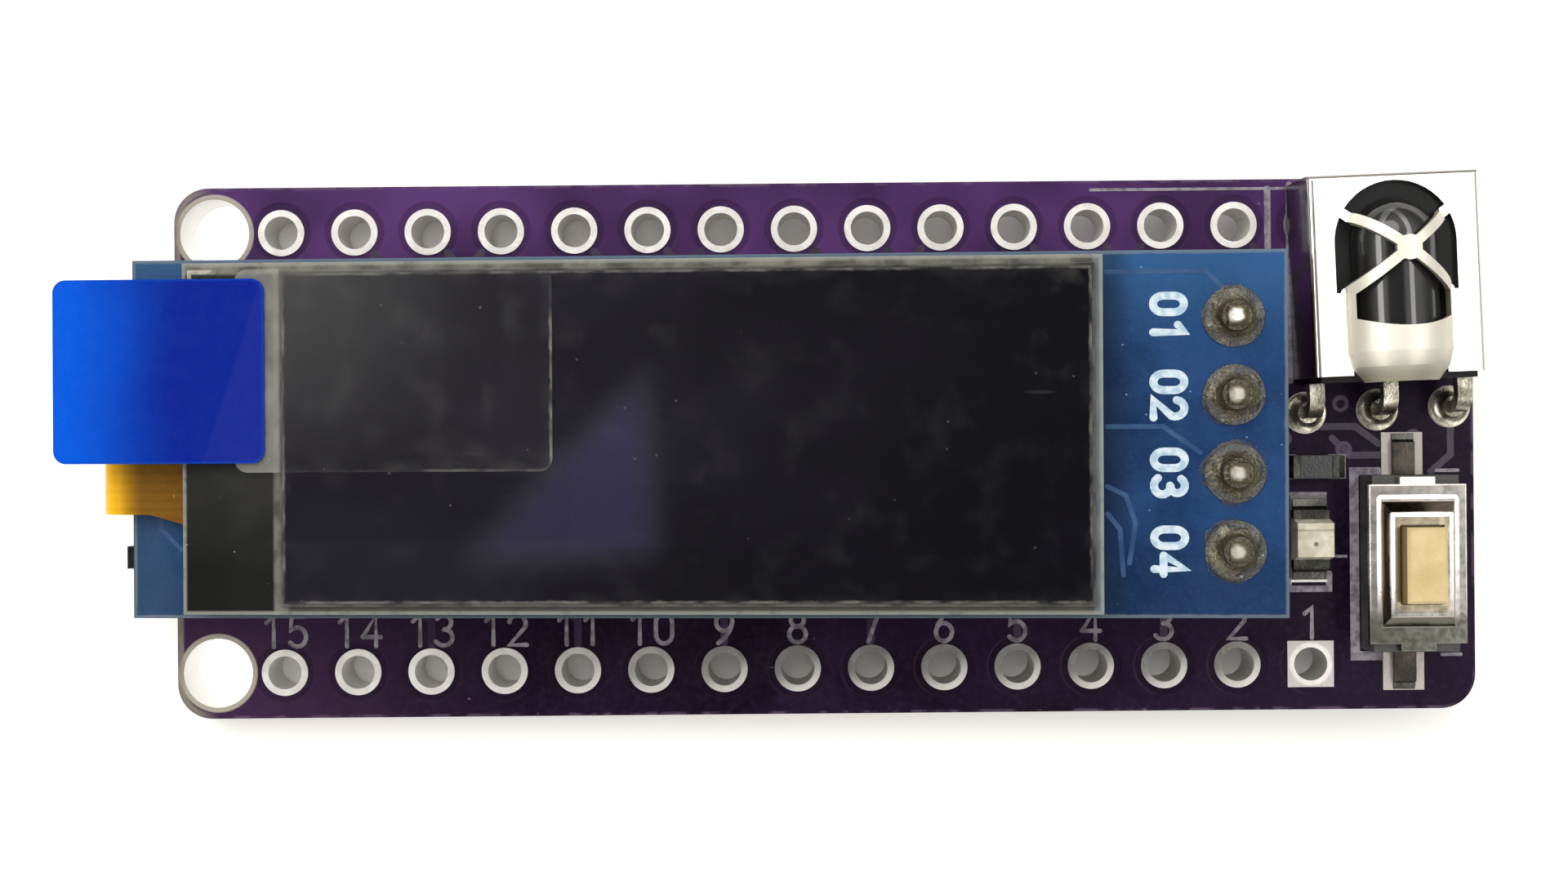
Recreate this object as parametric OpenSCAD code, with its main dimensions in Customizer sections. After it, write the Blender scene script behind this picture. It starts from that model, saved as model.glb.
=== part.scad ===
// Small display board: a slim glass display module stands on a header above a carrier board,
// which also holds an infrared receiver in a metal shield, a push button and a light.
// The origin is the centre of the pin-hole pattern on the carrier's underside, +X along the rows.

/* [Carrier board] */
// Width of the carrier along Y
carrier_width = 18.4; // [18.4:0.1:20]
// Thickness of the carrier
carrier_thickness = 1.6; // [1:0.1:2]
// Radius of the carrier's corners
corner_radius = 1.2; // [0.6:0.1:1.3]
// Distance from the carrier's left end to the first pin column
left_margin = 3.72; // [3.6:0.02:4.2]
// Distance from the last pin column to the carrier's right end
right_margin = 5.72; // [5.6:0.02:7]
// Diameter of the two mounting holes
mounting_hole_diameter = 2.4; // [2:0.05:2.4]
// Distance from the carrier's left end to the mounting holes' centres
mounting_hole_inset = 1.4; // [1.4:0.02:1.6]
// Distance from the carrier's long edges to the mounting holes' centres
mounting_hole_edge = 1.58; // [1.5:0.02:1.7]

/* [Pin holes] */
// Pin columns in each row
pin_columns = 15; // [14:1:15]
// Pitch of the pin columns
pin_pitch = 2.54; // [2.5:0.01:2.56]
// Distance between the two rows
row_spacing = 15.24; // [15.2:0.01:15.4]
// Finished diameter of a pin hole
pin_hole_diameter = 1.15; // [0.9:0.05:1.2]
// Diameter of the ring around a pin hole
pad_diameter = 1.6; // [1.55:0.05:1.9]
// Thickness of the metal lining a hole
plating = 0.06; // [0.04:0.01:0.1]
// Thickness of a pad on the board
pad_thickness = 0.05; // [0.03:0.01:0.08]

/* [Header] */
// Pins in the header
header_pins_count = 4; // [4:1:4]
// Height of the header's plastic strip
header_strip_height = 2.54; // [2.4:0.02:3]
// Width of the header's plastic strip along X
header_strip_width = 2.5; // [2.3:0.05:2.6]
// Side of a square header pin
header_pin_side = 0.64; // [0.5:0.02:0.66]
// Length of pin that stands out below the carrier
header_pin_tail = 0.95; // [0.8:0.05:1.4]
// Length of pin that stands out above the module board
header_pin_proud = 0.8; // [0.75:0.05:1.6]
// Distance from the header's pins back to the last pin column
header_to_pins = 3.53; // [3.4:0.01:4.2]
// Play of a header pin's corners in its hole
header_hole_play = 0.18; // [0.1:0.02:0.2]
// Width of the solder ring around a header hole
header_ring = 0.45; // [0.35:0.05:0.5]

/* [Module board] */
// Length of the module board
module_length = 38.3; // [37:0.1:39]
// Width of the module board
module_width = 12; // [11.8:0.1:12.6]
// Thickness of the module board
module_thickness = 1.2; // [0.8:0.1:1.4]
// Gap between the module board's low left end and the carrier
module_left_gap = 0.75; // [0.35:0.05:1.5]
// Distance from the header's pins to the module board's right end
pin_to_end = 1.8; // [1.3:0.05:2]
// Shift of the module along Y from the middle of the carrier
module_shift = 0.38; // [0:0.02:0.4]
// Angle by which the module is turned in its own plane
module_turn = -0.2; // [-0.4:0.1:0.4]

/* [Display panel] */
// Length of the front glass
panel_length = 29.9; // [28:0.1:30.6]
// Width of the front glass
panel_width = 11.5; // [11.2:0.1:11.6]
// Distance from the module board's left end to the front glass
panel_inset = 2.25; // [1.8:0.05:2.4]
// Length of bare glass at the left end, under which the driver chip sits
ledge_length = 3.3; // [3:0.1:3.8]
// Margin of front glass around the polariser
panel_margin = 0.28; // [0.1:0.02:0.4]
// Thickness of the sticky tape under the panel
mounting_tape_thickness = 0.2; // [0.1:0.05:0.4]
// Thickness of the rear cap glass
cap_thickness = 0.5; // [0.4:0.05:0.7]
// Thickness of the front glass
glass_thickness = 0.7; // [0.5:0.05:0.8]
// Thickness of the polariser
polariser_thickness = 0.2; // [0.1:0.02:0.3]
// Thickness of the clear protective film
film_thickness = 0.06; // [0.04:0.01:0.1]
// Width of the driver chip along X
driver_width = 0.95; // [0.8:0.05:1.1]
// Length of the driver chip along Y
driver_length = 6.2; // [5.5:0.1:8]
// Thickness of the driver chip
driver_thickness = 0.3; // [0.2:0.05:0.4]
// Gap between the driver chip and the rear cap glass
driver_gap = 0.45; // [0.3:0.05:0.5]

/* [Flex tail] */
// Thickness of the flex tail
flex_thickness = 0.1; // [0.06:0.01:0.15]
// Width of the flex tail at the bend
flex_width = 5; // [4.4:0.1:5.6]
// Width of the flex tail where it meets the glass
flex_root_width = 5.8; // [5.6:0.1:7]
// Length of flex tail that is bonded under the glass
flex_bond = 1.1; // [0.8:0.1:1.3]
// Length of flex tail that lies under the module board
flex_return = 3.3; // [3.2:0.1:4]
// Length over which the flex tail widens
flex_taper = 1.4; // [1:0.1:1.6]
// Length of a solder contact on the flex tail
flex_contact_length = 1.3; // [1:0.1:1.5]
// Distance from a contact to the flex tail's end
flex_contact_margin = 0.3; // [0.2:0.05:0.5]
// Thickness of a solder contact
flex_contact_thickness = 0.05; // [0.03:0.01:0.08]

/* [Pull tab] */
// Length of the blue tab
tab_length = 7; // [6.4:0.1:7.4]
// Width of the blue tab
tab_width = 6; // [5:0.05:6.2]
// Length of blue tab that stands out past the module board's left end
tab_overhang = 1.9; // [1.6:0.05:2.5]
// Shift of the tab along Y from the middle of the module
tab_shift = 2.2; // [1.5:0.05:2.6]
// Radius of the tab's corners
tab_corner = 0.42; // [0.2:0.02:0.8]
// Thickness of the tab
tab_thickness = 0.08; // [0.05:0.01:0.12]
// Length of clear tape that shows beyond the tab
label_length = 9.4; // [7:0.1:12]
// Width of the clear tape
label_width = 6.6; // [6.2:0.05:6.7]
// Length of clear tape that lies under the tab
label_lap = 1; // [0.6:0.1:1.6]

/* [Infrared receiver] */
// Width of the shield
ir_width = 5.7; // [5.5:0.1:5.8]
// Length of the shield along the board
ir_length = 6.7; // [6.5:0.05:7]
// Height of the shield's flat face above the carrier
ir_height = 2.6; // [2.4:0.1:2.8]
// Thickness of the shield's sheet metal
ir_sheet = 0.2; // [0.15:0.01:0.25]
// Outer radius of the sheet metal's folds
ir_fold_radius = 0.2; // [0.16:0.02:0.4]
// Gap between the shield and the carrier
ir_standoff = 0.12; // [0.1:0.01:0.3]
// Outer radius of the bulge over the lens
ir_bulge_radius = 1.85; // [1.75:0.01:1.9]
// Rise of the bulge above the flat face
ir_bulge_rise = 1.35; // [1.2:0.05:1.5]
// Width of the window in the flat face
ir_window_width = 4.06; // [3.9:0.02:4.2]
// Length of the window
ir_window_length = 4.9; // [4.7:0.05:5]
// Distance from the shield's far end to the window
ir_window_margin = 0.25; // [0.25:0.05:0.4]
// Length of the half-round skirt below the window
ir_skirt_length = 1.8; // [1.7:0.05:1.9]
// Depth of the curve in the skirt's upper edge
ir_skirt_bow = 0.44; // [0.3:0.01:0.5]
// Length over which the skirt is drawn in
ir_skirt_taper = 1; // [0.9:0.05:1.1]
// Radius by which the skirt is drawn in at its mouth
ir_skirt_drawn = 0.5; // [0.4:0.05:0.6]
// Width of a grille strip
ir_strip_width = 0.33; // [0.25:0.01:0.45]
// Gap between the lens and the bulge
ir_lens_gap = 0.15; // [0.08:0.01:0.3]
// Pitch of the leads
ir_lead_pitch = 2.5; // [2.45:0.01:2.54]
// Width of a lead
ir_lead_width = 0.5; // [0.4:0.02:0.52]
// Thickness of a lead
ir_lead_thickness = 0.4; // [0.3:0.02:0.42]
// Distance from the shield's near end to the lead holes
ir_lead_reach = 1.15; // [1.1:0.05:1.2]
// Length of lead that stands out below the carrier
ir_lead_tail = 0.9; // [0.6:0.05:1.2]
// Distance from the last pin column to the receiver's middle
ir_from_pins = 2.22; // [2.1:0.02:2.3]
// Gap between the receiver's lead pads and the button's far solder pad
ir_pad_gap = 0.06; // [0.04:0.01:0.2]
// Angle by which the receiver is turned on the board
ir_turn = 2; // [0:0.5:3]

/* [Push button] */
// Length of the button's base along Y
switch_length = 6; // [5.8:0.1:6]
// Width of the button's base along X
switch_width = 2.95; // [2.85:0.05:3]
// Height of the button's base
switch_base_height = 1.35; // [1.3:0.05:1.6]
// Thickness of the cover's sheet metal
switch_sheet = 0.2; // [0.15:0.01:0.25]
// Length of the cover
switch_cover_length = 5.4; // [5.2:0.1:5.6]
// Width of the cover
switch_cover_width = 3.3; // [3.2:0.05:3.4]
// Height of the raised collar around the plunger
collar_height = 0.4; // [0.35:0.05:0.5]
// Length of the raised collar
collar_length = 3.5; // [3.4:0.05:3.7]
// Width of the raised collar
collar_width = 2.1; // [2.05:0.05:2.3]
// Run of the collar's leaning sides along X
collar_lean_width = 0.22; // [0.1:0.01:0.3]
// Run of the collar's leaning ends along Y
collar_lean_length = 0.47; // [0.2:0.01:0.6]
// Length of the plunger's top
plunger_length = 2.55; // [2.4:0.05:2.6]
// Width of the plunger's top
plunger_width = 1.35; // [1.25:0.05:1.4]
// Height of the plunger above the collar at rest
plunger_proud = 0.55; // [0.4:0.05:0.8]
// Chamfer on the plunger's edges
plunger_edge = 0.1; // [0.05:0.01:0.15]
// Travel of the plunger
plunger_travel = 0.25; // [0.15:0.05:0.25]
// Clearance around the plunger in the cover
plunger_clearance = 0.06; // [0.03:0.01:0.08]
// Distance across the tips of the two terminals
terminal_span = 8.2; // [8:0.1:8.4]
// Width of a terminal
terminal_width = 0.75; // [0.6:0.05:1]
// Thickness of a terminal
terminal_thickness = 0.2; // [0.15:0.01:0.25]
// Length of solder pad that shows past a terminal's tip
switch_pad_reach = 0.365; // [0.3:0.005:0.4]
// Width of a solder pad
switch_pad_width = 1.42; // [1.2:0.02:1.6]
// Distance from the last pin column to the button's middle
switch_from_pins = 3.22; // [3.1:0.02:3.5]
// Distance from the front pin row to the button's middle
switch_from_row = 3.54; // [3.4:0.02:3.6]

/* [Light and resistor] */
// Length of the light
led_length = 2; // [1.8:0.05:2.1]
// Width of the light
led_width = 1.25; // [1.1:0.05:1.4]
// Thickness of the light's base
led_base_height = 0.35; // [0.25:0.05:0.5]
// Length of the light's lens
led_lens_length = 1.4; // [1.2:0.05:1.4]
// Height of the light's lens
led_lens_height = 0.5; // [0.3:0.05:0.7]
// Gap between the light and the button's base
led_gap = 1.15; // [1:0.025:1.25]
// Length of the resistor
resistor_length = 1.6; // [1.5:0.05:1.7]
// Width of the resistor
resistor_width = 0.8; // [0.7:0.05:0.9]
// Height of the resistor
resistor_height = 0.45; // [0.4:0.05:0.6]
// Gap between the resistor's pad and the button's base
resistor_gap = 0.465; // [0.42:0.005:0.6]
// Gap between the resistor's pads and the receiver's lead pads
resistor_lead_gap = 0.8; // [0.6:0.05:1]
// Gap between the resistor's pads and the light's pad
resistor_led_gap = 0.57; // [0.4:0.01:0.7]

/* [Hidden] */
$fn = 64;
eps = 0.01;

// Carrier
column_x = [for (i = [0 : pin_columns - 1]) (i - (pin_columns - 1) / 2) * pin_pitch];
row_y = [-row_spacing / 2, row_spacing / 2];
last_column = column_x[pin_columns - 1];
carrier_left = column_x[0] - left_margin;
carrier_length = last_column + right_margin - carrier_left;
mounting_y = carrier_width / 2 - mounting_hole_edge;
lined_hole_diameter = pin_hole_diameter + 2 * plating;

// Header and module
header_x = last_column - header_to_pins;
header_hole_diameter = header_pin_side * sqrt(2) + header_hole_play;
header_y = [for (i = [0 : header_pins_count - 1]) (i - (header_pins_count - 1) / 2) * pin_pitch];
header_pad_diameter = header_hole_diameter + 2 * header_ring;
header_solder_neck = header_pin_side * 0.75;
module_right = header_strip_width / 2 + pin_to_end;
module_left = module_right - module_length;
tilt = asin((header_strip_height - module_left_gap) / -module_left);

// Levels in the module's own frame, from the module board's underside up
tape_z = module_thickness;
cap_z = tape_z + mounting_tape_thickness;
glass_z = cap_z + cap_thickness;
polariser_z = glass_z + glass_thickness;
film_z = polariser_z + polariser_thickness;
label_z = film_z + film_thickness;
tab_z = label_z + film_thickness;

// Panel outline
panel_left = module_left + panel_inset;
panel_right = panel_left + panel_length;
view_left = panel_left + ledge_length;
view_length = panel_right - panel_margin - view_left;
view_width = panel_width - 2 * panel_margin;
tab_left = module_left - tab_overhang;
label_left = tab_left + tab_length - label_lap;

// Flex tail's bend around the module board's left end
flex_outer = (glass_z + flex_thickness) / 2;
flex_pads = 14;
flex_pad_pitch = (flex_width - 0.3) / flex_pads;

// Push button
switch_x = last_column + switch_from_pins;
switch_y = row_y[0] + switch_from_row;
switch_pad_span = terminal_span + 2 * switch_pad_reach;
switch_pad_length = (switch_pad_span - switch_length) / 2;
cover_z = switch_base_height;
collar_z = cover_z + collar_height;
window_length = plunger_length + 2 * plunger_clearance;
window_width = plunger_width + 2 * plunger_clearance;
cavity_length = collar_length - 2 * switch_sheet;
cavity_width = collar_width - 2 * switch_sheet;
flange_height = 0.3;
flange_top = collar_z - 0.03;
flange_length = cavity_length - 2 * plunger_clearance;
flange_width = cavity_width - 2 * plunger_clearance;
plunger_top = collar_z + switch_sheet + plunger_proud;
dome_gap = 0.02;
dome_pressed = 0.7;
dome_rise = dome_pressed + plunger_travel;
dome_sheet = 0.08;
dome_sphere = cavity_width / 2 - dome_gap;
cavity_floor = flange_top - flange_height - dome_gap - dome_rise;

// Receiver
ir_axis_z = ir_height + ir_bulge_rise - ir_bulge_radius;
ir_inner_radius = ir_bulge_radius - ir_sheet;
ir_lens_radius = ir_inner_radius - ir_lens_gap;
ir_window_top = ir_length / 2 - ir_window_margin;
ir_window_bottom = ir_window_top - ir_window_length;
ir_dome_y = ir_window_top - ir_window_width / 2;
ir_skirt_end = ir_window_bottom - ir_skirt_length;
ir_bow_radius = (ir_bulge_radius * ir_bulge_radius + ir_skirt_bow * ir_skirt_bow) / (2 * ir_skirt_bow);
ir_hub_y = ir_dome_y - 0.34;
ir_elbow_x = ir_bulge_radius * 0.93;
ir_elbow_y = ir_hub_y - ir_elbow_x * 0.77;
ir_side_gap = 0.04;
ir_body_near = -ir_length / 2 - 0.2;
ir_lens_near = ir_skirt_end + ir_skirt_taper * 0.7;
ir_lead_y = -ir_length / 2 - ir_lead_reach;
ir_lead_z = (ir_height + ir_standoff) / 2;
ir_lead_x = [-ir_lead_pitch, 0, ir_lead_pitch];
ir_hole_diameter = 0.9;
ir_pad_diameter = 1.45;
ir_bend = 0.5;
ir_x = last_column + ir_from_pins;
lead_row_y = switch_y + switch_pad_span / 2 + ir_pad_gap + ir_pad_diameter / 2;
ir_y = lead_row_y - ir_lead_y;

// Light and resistor
led_end = 0.3;
chip_end = 0.3;
solder_foot = 0.4;
led_pad_length = led_end + solder_foot + 0.1;
led_pad_end = led_length / 2 - led_end + led_pad_length;
resistor_cap = chip_end * resistor_width;
resistor_pad_length = 0.6;
resistor_pad_width = resistor_width + 0.06;
resistor_pad_end = resistor_length / 2 - resistor_cap + resistor_pad_length;
resistor_x = switch_x - switch_width / 2 - resistor_gap - resistor_pad_end;
resistor_y = lead_row_y - ir_pad_diameter / 2 - resistor_lead_gap - resistor_pad_width / 2;
led_x = switch_x - switch_width / 2 - led_gap - led_width / 2;
led_y = resistor_y - resistor_pad_width / 2 - resistor_led_gap - led_pad_end;

// Parts under the module board, placed from the header strip's left side
capacitor_x = -15.5;
capacitor_y = [-3.4, -1.6, 3.2];
capacitor_length = 1.6;
capacitor_width = 0.8;
capacitor_height = 0.8;
small_capacitor_x = -28.4;
small_capacitor_y = [-3.9, 3.9];
small_chip_length = 1;
small_chip_width = 0.5;
small_capacitor_height = 0.5;
small_resistor_x = -19.5;
small_resistor_y = [-3.4, -1.9, 1.9, 3.4];
small_resistor_height = 0.35;
regulator_x = -10.5;
regulator_y = 2.2;
regulator_length = 2.9;
regulator_width = 1.6;
regulator_height = 1;
regulator_lead_pitch = 0.95;
regulator_lead_width = 0.4;
regulator_lead_reach = 0.55;
regulator_lead_thickness = 0.12;
regulator_leads = [[-1, -1], [0, -1], [1, -1], [-1, 1], [1, 1]];

// Where the pin's upright axis meets a level of the tilted module board
function pin_on_module(z) = (header_strip_width / 2 + z * sin(tilt)) / cos(tilt);

// Height of the module board's top face at the pins
module_top_at_pins = carrier_thickness + header_strip_height
    + pin_on_module(module_thickness) * sin(tilt) + module_thickness * cos(tilt);

// Frames
module module_frame() {
    translate([header_x - header_strip_width / 2, module_shift, carrier_thickness + header_strip_height])
        rotate([0, -tilt, 0])
            rotate([0, 0, module_turn])
                children();
}

module header_frame() {
    translate([header_x, module_shift, 0])
        children();
}

// Sets a shape at each header pin on a level of the module, in the module's own frame
module on_header_pins(z) {
    rotate([0, 0, -module_turn])
        for (y = header_y)
            translate([pin_on_module(z), y, z])
                children();
}

module under_module(x, y) {
    module_frame()
        translate([x, y, 0])
            mirror([0, 0, 1])
                children();
}

module ir_frame() {
    translate([ir_x, ir_y, carrier_thickness])
        rotate([0, 0, ir_turn])
            children();
}

module switch_frame() {
    translate([switch_x, switch_y, carrier_thickness])
        children();
}

module led_frame() {
    translate([led_x, led_y, carrier_thickness + pad_thickness])
        rotate([0, 0, 90])
            children();
}

module resistor_frame() {
    translate([resistor_x, resistor_y, carrier_thickness + pad_thickness])
        children();
}

// Shared shapes
module rounded_rectangle(length, width, radius) {
    translate([radius, 0])
        square([length - 2 * radius, width]);
    translate([0, radius])
        square([length, width - 2 * radius]);
    for (x = [radius, length - radius], y = [radius, width - radius])
        translate([x, y])
            circle(radius);
}

module centred_box(size) {
    translate([-size[0] / 2, -size[1] / 2, 0])
        cube(size);
}

// A lined hole through the carrier with a pad on one or both faces
module lined_hole(hole, pad, top, square_pad) {
    difference() {
        union() {
            cylinder(d = hole + 2 * plating, h = carrier_thickness);
            translate([0, 0, -pad_thickness])
                hole_pad(pad, square_pad);
            if (top)
                translate([0, 0, carrier_thickness])
                    hole_pad(pad, square_pad);
        }
        translate([0, 0, -1])
            cylinder(d = hole, h = carrier_thickness + 2);
    }
}

module hole_pad(pad, square_pad) {
    if (square_pad)
        centred_box([pad, pad, pad_thickness]);
    else
        cylinder(d = pad, h = pad_thickness);
}

// A solder fillet with a hollow flank that rises from a wide foot to a narrow neck
module solder_fillet(foot, neck) {
    lip = 0.05;
    rise = foot - neck;
    rotate_extrude()
        difference() {
            square([foot, lip + rise]);
            translate([foot, lip + rise])
                circle(rise);
        }
}

// A square bar along Z with chamfered ends
module square_bar(side, bottom, top) {
    chamfer = side / 4;
    half = side / 2;
    outline = [
        [-half, bottom + chamfer], [-half + chamfer, bottom], [half - chamfer, bottom],
        [half, bottom + chamfer], [half, top - chamfer], [half - chamfer, top],
        [-half + chamfer, top], [-half, top - chamfer],
    ];
    intersection() {
        rotate([90, 0, 0])
            linear_extrude(height = side, center = true)
                polygon(outline);
        rotate([90, 0, 90])
            linear_extrude(height = side, center = true)
                polygon(outline);
    }
}

module chip_middle(length, width, height) {
    translate([0, 0, 0.02])
        centred_box([length - 2 * chip_end * width, width, height]);
}

module chip_caps(length, width, height) {
    cap = chip_end * width;
    for (side = [-1, 1])
        translate([side * (length - cap) / 2, 0, 0])
            centred_box([cap, width, height + 0.04]);
}

// A wedge of solder at x = 0 that leans on a wall of the given height
module solder_wedge(width, height, foot) {
    rotate([90, 0, 0])
        linear_extrude(height = width, center = true)
            polygon([[0, 0], [foot, 0], [foot, 0.04], [foot * 0.35, height * 0.35], [0, height]]);
}

// Carrier board
module carrier_board() {
    color([0.34, 0.2, 0.42])
        difference() {
            translate([carrier_left, -carrier_width / 2, 0])
                linear_extrude(height = carrier_thickness)
                    rounded_rectangle(carrier_length, carrier_width, corner_radius);
            for (side = [-1, 1])
                translate([carrier_left + mounting_hole_inset, side * mounting_y, -1])
                    cylinder(d = mounting_hole_diameter, h = carrier_thickness + 2);
            for (x = column_x, y = row_y)
                translate([x, y, -1])
                    cylinder(d = lined_hole_diameter, h = carrier_thickness + 2);
            header_frame()
                for (y = header_y)
                    translate([0, y, -1])
                        cylinder(d = header_hole_diameter + 2 * plating, h = carrier_thickness + 2);
            ir_frame()
                for (x = ir_lead_x)
                    translate([x, ir_lead_y, -carrier_thickness - 1])
                        cylinder(d = ir_hole_diameter + 2 * plating, h = carrier_thickness + 2);
        }
}

module header_hole_pads() {
    color([0.9, 0.9, 0.88])
        for (i = [0 : pin_columns - 1], j = [0, 1])
            translate([column_x[i], row_y[j], 0])
                lined_hole(pin_hole_diameter, pad_diameter, true, i == pin_columns - 1 && j == 0);
}

module soldered_hole_pads() {
    color([0.85, 0.85, 0.83]) {
        header_frame()
            for (y = header_y)
                translate([0, y, 0])
                    lined_hole(header_hole_diameter, header_pad_diameter, false, false);
        ir_frame()
            for (x = ir_lead_x)
                translate([x, ir_lead_y, -carrier_thickness])
                    lined_hole(ir_hole_diameter, ir_pad_diameter, true, false);
    }
}

module component_pads() {
    color([0.88, 0.88, 0.86]) {
        switch_frame()
            for (side = [-1, 1])
                translate([0, side * (switch_pad_span - switch_pad_length) / 2, 0])
                    centred_box([switch_pad_width, switch_pad_length, pad_thickness]);
        translate([0, 0, -pad_thickness]) {
            led_frame()
                for (side = [-1, 1])
                    translate([side * (led_pad_end - led_pad_length / 2), 0, 0])
                        centred_box([led_pad_length, led_width, pad_thickness]);
            resistor_frame()
                for (side = [-1, 1])
                    translate([side * (resistor_pad_end - resistor_pad_length / 2), 0, 0])
                        centred_box([resistor_pad_length, resistor_pad_width, pad_thickness]);
        }
    }
}

// Display module
module module_board() {
    stub_width = 0.75;
    stub_proud = 0.22;
    color([0.12, 0.32, 0.52])
        module_frame()
            difference() {
                union() {
                    translate([module_left, -module_width / 2, 0])
                        cube([module_length, module_width, module_thickness]);
                    translate([module_left - stub_proud, -module_width * 0.33 - stub_width / 2, 0])
                        cube([stub_proud + 0.5, stub_width, module_thickness]);
                }
                on_header_pins(module_thickness / 2)
                    translate([0, 0, -module_thickness])
                        cylinder(d = header_hole_diameter + 0.12, h = 2 * module_thickness);
            }
}

module mounting_tape() {
    color([0.88, 0.88, 0.84])
        module_frame()
            translate([view_left + 0.5, -view_width / 2 + 0.5, tape_z])
                cube([view_length - 1, view_width - 1, mounting_tape_thickness]);
}

module panel_cap_glass() {
    color([0.2, 0.2, 0.22])
        module_frame()
            translate([view_left, -view_width / 2, cap_z])
                cube([view_length, view_width, cap_thickness]);
}

module panel_front_glass() {
    color([0.16, 0.16, 0.18])
        module_frame()
            translate([panel_left, -panel_width / 2, glass_z])
                cube([panel_length, panel_width, glass_thickness]);
}

module polariser() {
    color([0.1, 0.1, 0.14])
        module_frame()
            translate([view_left, -view_width / 2, polariser_z])
                cube([view_length, view_width, polariser_thickness]);
}

module protective_film() {
    color([0.8, 0.82, 0.85, 0.4])
        module_frame()
            translate([view_left + 0.1, -view_width / 2 + 0.1, film_z])
                cube([view_length - 0.2, view_width - 0.2, film_thickness]);
}

module pull_tab_tape() {
    color([0.75, 0.78, 0.8, 0.5])
        module_frame()
            translate([label_left, tab_shift - label_width / 2, label_z])
                linear_extrude(height = film_thickness)
                    rounded_rectangle(label_lap + label_length, label_width, tab_corner);
}

module pull_tab() {
    color([0.05, 0.3, 0.85])
        module_frame()
            translate([tab_left, tab_shift - tab_width / 2, tab_z])
                linear_extrude(height = tab_thickness)
                    rounded_rectangle(tab_length, tab_width, tab_corner);
}

module driver_chip() {
    color([0.25, 0.25, 0.27])
        module_frame()
            translate([view_left - driver_gap - driver_width, -driver_length / 2, glass_z - driver_thickness])
                cube([driver_width, driver_length, driver_thickness]);
}

// A strip bent round the left end of the module board, cut to its tapered plan outline
module flex_tail() {
    taper_left = panel_left - flex_taper;
    reach_left = module_left - 2 * flex_outer;
    plan = [
        [reach_left, -flex_width / 2], [taper_left, -flex_width / 2],
        [panel_left, -flex_root_width / 2], [panel_right, -flex_root_width / 2],
        [panel_right, flex_root_width / 2], [panel_left, flex_root_width / 2],
        [taper_left, flex_width / 2], [reach_left, flex_width / 2],
    ];
    color([0.8, 0.52, 0.1])
        module_frame()
            intersection() {
                rotate([90, 0, 0])
                    linear_extrude(height = 2 * flex_root_width, center = true)
                        flex_path();
                translate([0, 0, -1])
                    linear_extrude(height = glass_z + 2)
                        polygon(plan);
            }
}

module flex_path() {
    translate([module_left, glass_z - flex_thickness])
        square([panel_inset + flex_bond, flex_thickness]);
    translate([module_left, -flex_thickness])
        square([flex_return, flex_thickness]);
    translate([module_left, glass_z - flex_outer])
        difference() {
            circle(flex_outer);
            circle(flex_outer - flex_thickness);
            translate([0, -2 * flex_outer])
                square([2 * flex_outer, 4 * flex_outer]);
        }
}

module flex_contacts() {
    contact_x = module_left + flex_return - flex_contact_margin - flex_contact_length / 2;
    color([0.82, 0.82, 0.8])
        for (i = [0 : flex_pads - 1])
            under_module(contact_x, (i - (flex_pads - 1) / 2) * flex_pad_pitch)
                translate([0, 0, flex_thickness])
                    centred_box([flex_contact_length, flex_pad_pitch * 0.55, flex_contact_thickness]);
}

module module_regulator() {
    color([0.1, 0.1, 0.1])
        under_module(regulator_x, regulator_y)
            translate([0, 0, regulator_height * 0.08])
                centred_box([regulator_length, regulator_width, regulator_height]);
}

module module_regulator_leads() {
    upright = (regulator_width + regulator_lead_thickness) / 2;
    rise = regulator_height * 0.55;
    color([0.8, 0.8, 0.78])
        under_module(regulator_x, regulator_y)
            for (p = regulator_leads)
                translate([p[0] * regulator_lead_pitch, 0, 0]) {
                    translate([0, p[1] * (regulator_width + regulator_lead_reach) / 2, 0])
                        centred_box([regulator_lead_width, regulator_lead_reach, regulator_lead_thickness]);
                    translate([0, p[1] * upright, 0])
                        centred_box([regulator_lead_width, regulator_lead_thickness, rise]);
                }
}

module module_capacitors() {
    color([0.6, 0.45, 0.3]) {
        for (y = capacitor_y)
            under_module(capacitor_x, y)
                chip_middle(capacitor_length, capacitor_width, capacitor_height);
        for (y = small_capacitor_y)
            under_module(small_capacitor_x, y)
                chip_middle(small_chip_length, small_chip_width, small_capacitor_height);
    }
}

module module_resistors() {
    color([0.08, 0.08, 0.09])
        for (y = small_resistor_y)
            under_module(small_resistor_x, y)
                chip_middle(small_chip_length, small_chip_width, small_resistor_height);
}

module module_chip_ends() {
    color([0.82, 0.82, 0.8]) {
        for (y = capacitor_y)
            under_module(capacitor_x, y)
                chip_caps(capacitor_length, capacitor_width, capacitor_height);
        for (y = small_capacitor_y)
            under_module(small_capacitor_x, y)
                chip_caps(small_chip_length, small_chip_width, small_capacitor_height);
        for (y = small_resistor_y)
            under_module(small_resistor_x, y)
                chip_caps(small_chip_length, small_chip_width, small_resistor_height);
    }
}

// Header
module header_strip() {
    half = header_strip_width / 2;
    step = pin_pitch / 2;
    cut = 0.35;
    cell = [
        [-half, -step + cut], [-half + cut, -step], [half - cut, -step], [half, -step + cut],
        [half, step - cut], [half - cut, step], [-half + cut, step], [-half, step - cut],
    ];
    color([0.08, 0.08, 0.08])
        header_frame()
            translate([0, 0, carrier_thickness])
                linear_extrude(height = header_strip_height)
                    difference() {
                        union() {
                            for (y = header_y)
                                translate([0, y])
                                    polygon(cell);
                            translate([cut - half, header_y[0] - step])
                                square([2 * (half - cut), header_pins_count * pin_pitch]);
                        }
                        for (y = header_y)
                            translate([-header_pin_side / 2, y - header_pin_side / 2])
                                square(header_pin_side);
                    }
}

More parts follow.
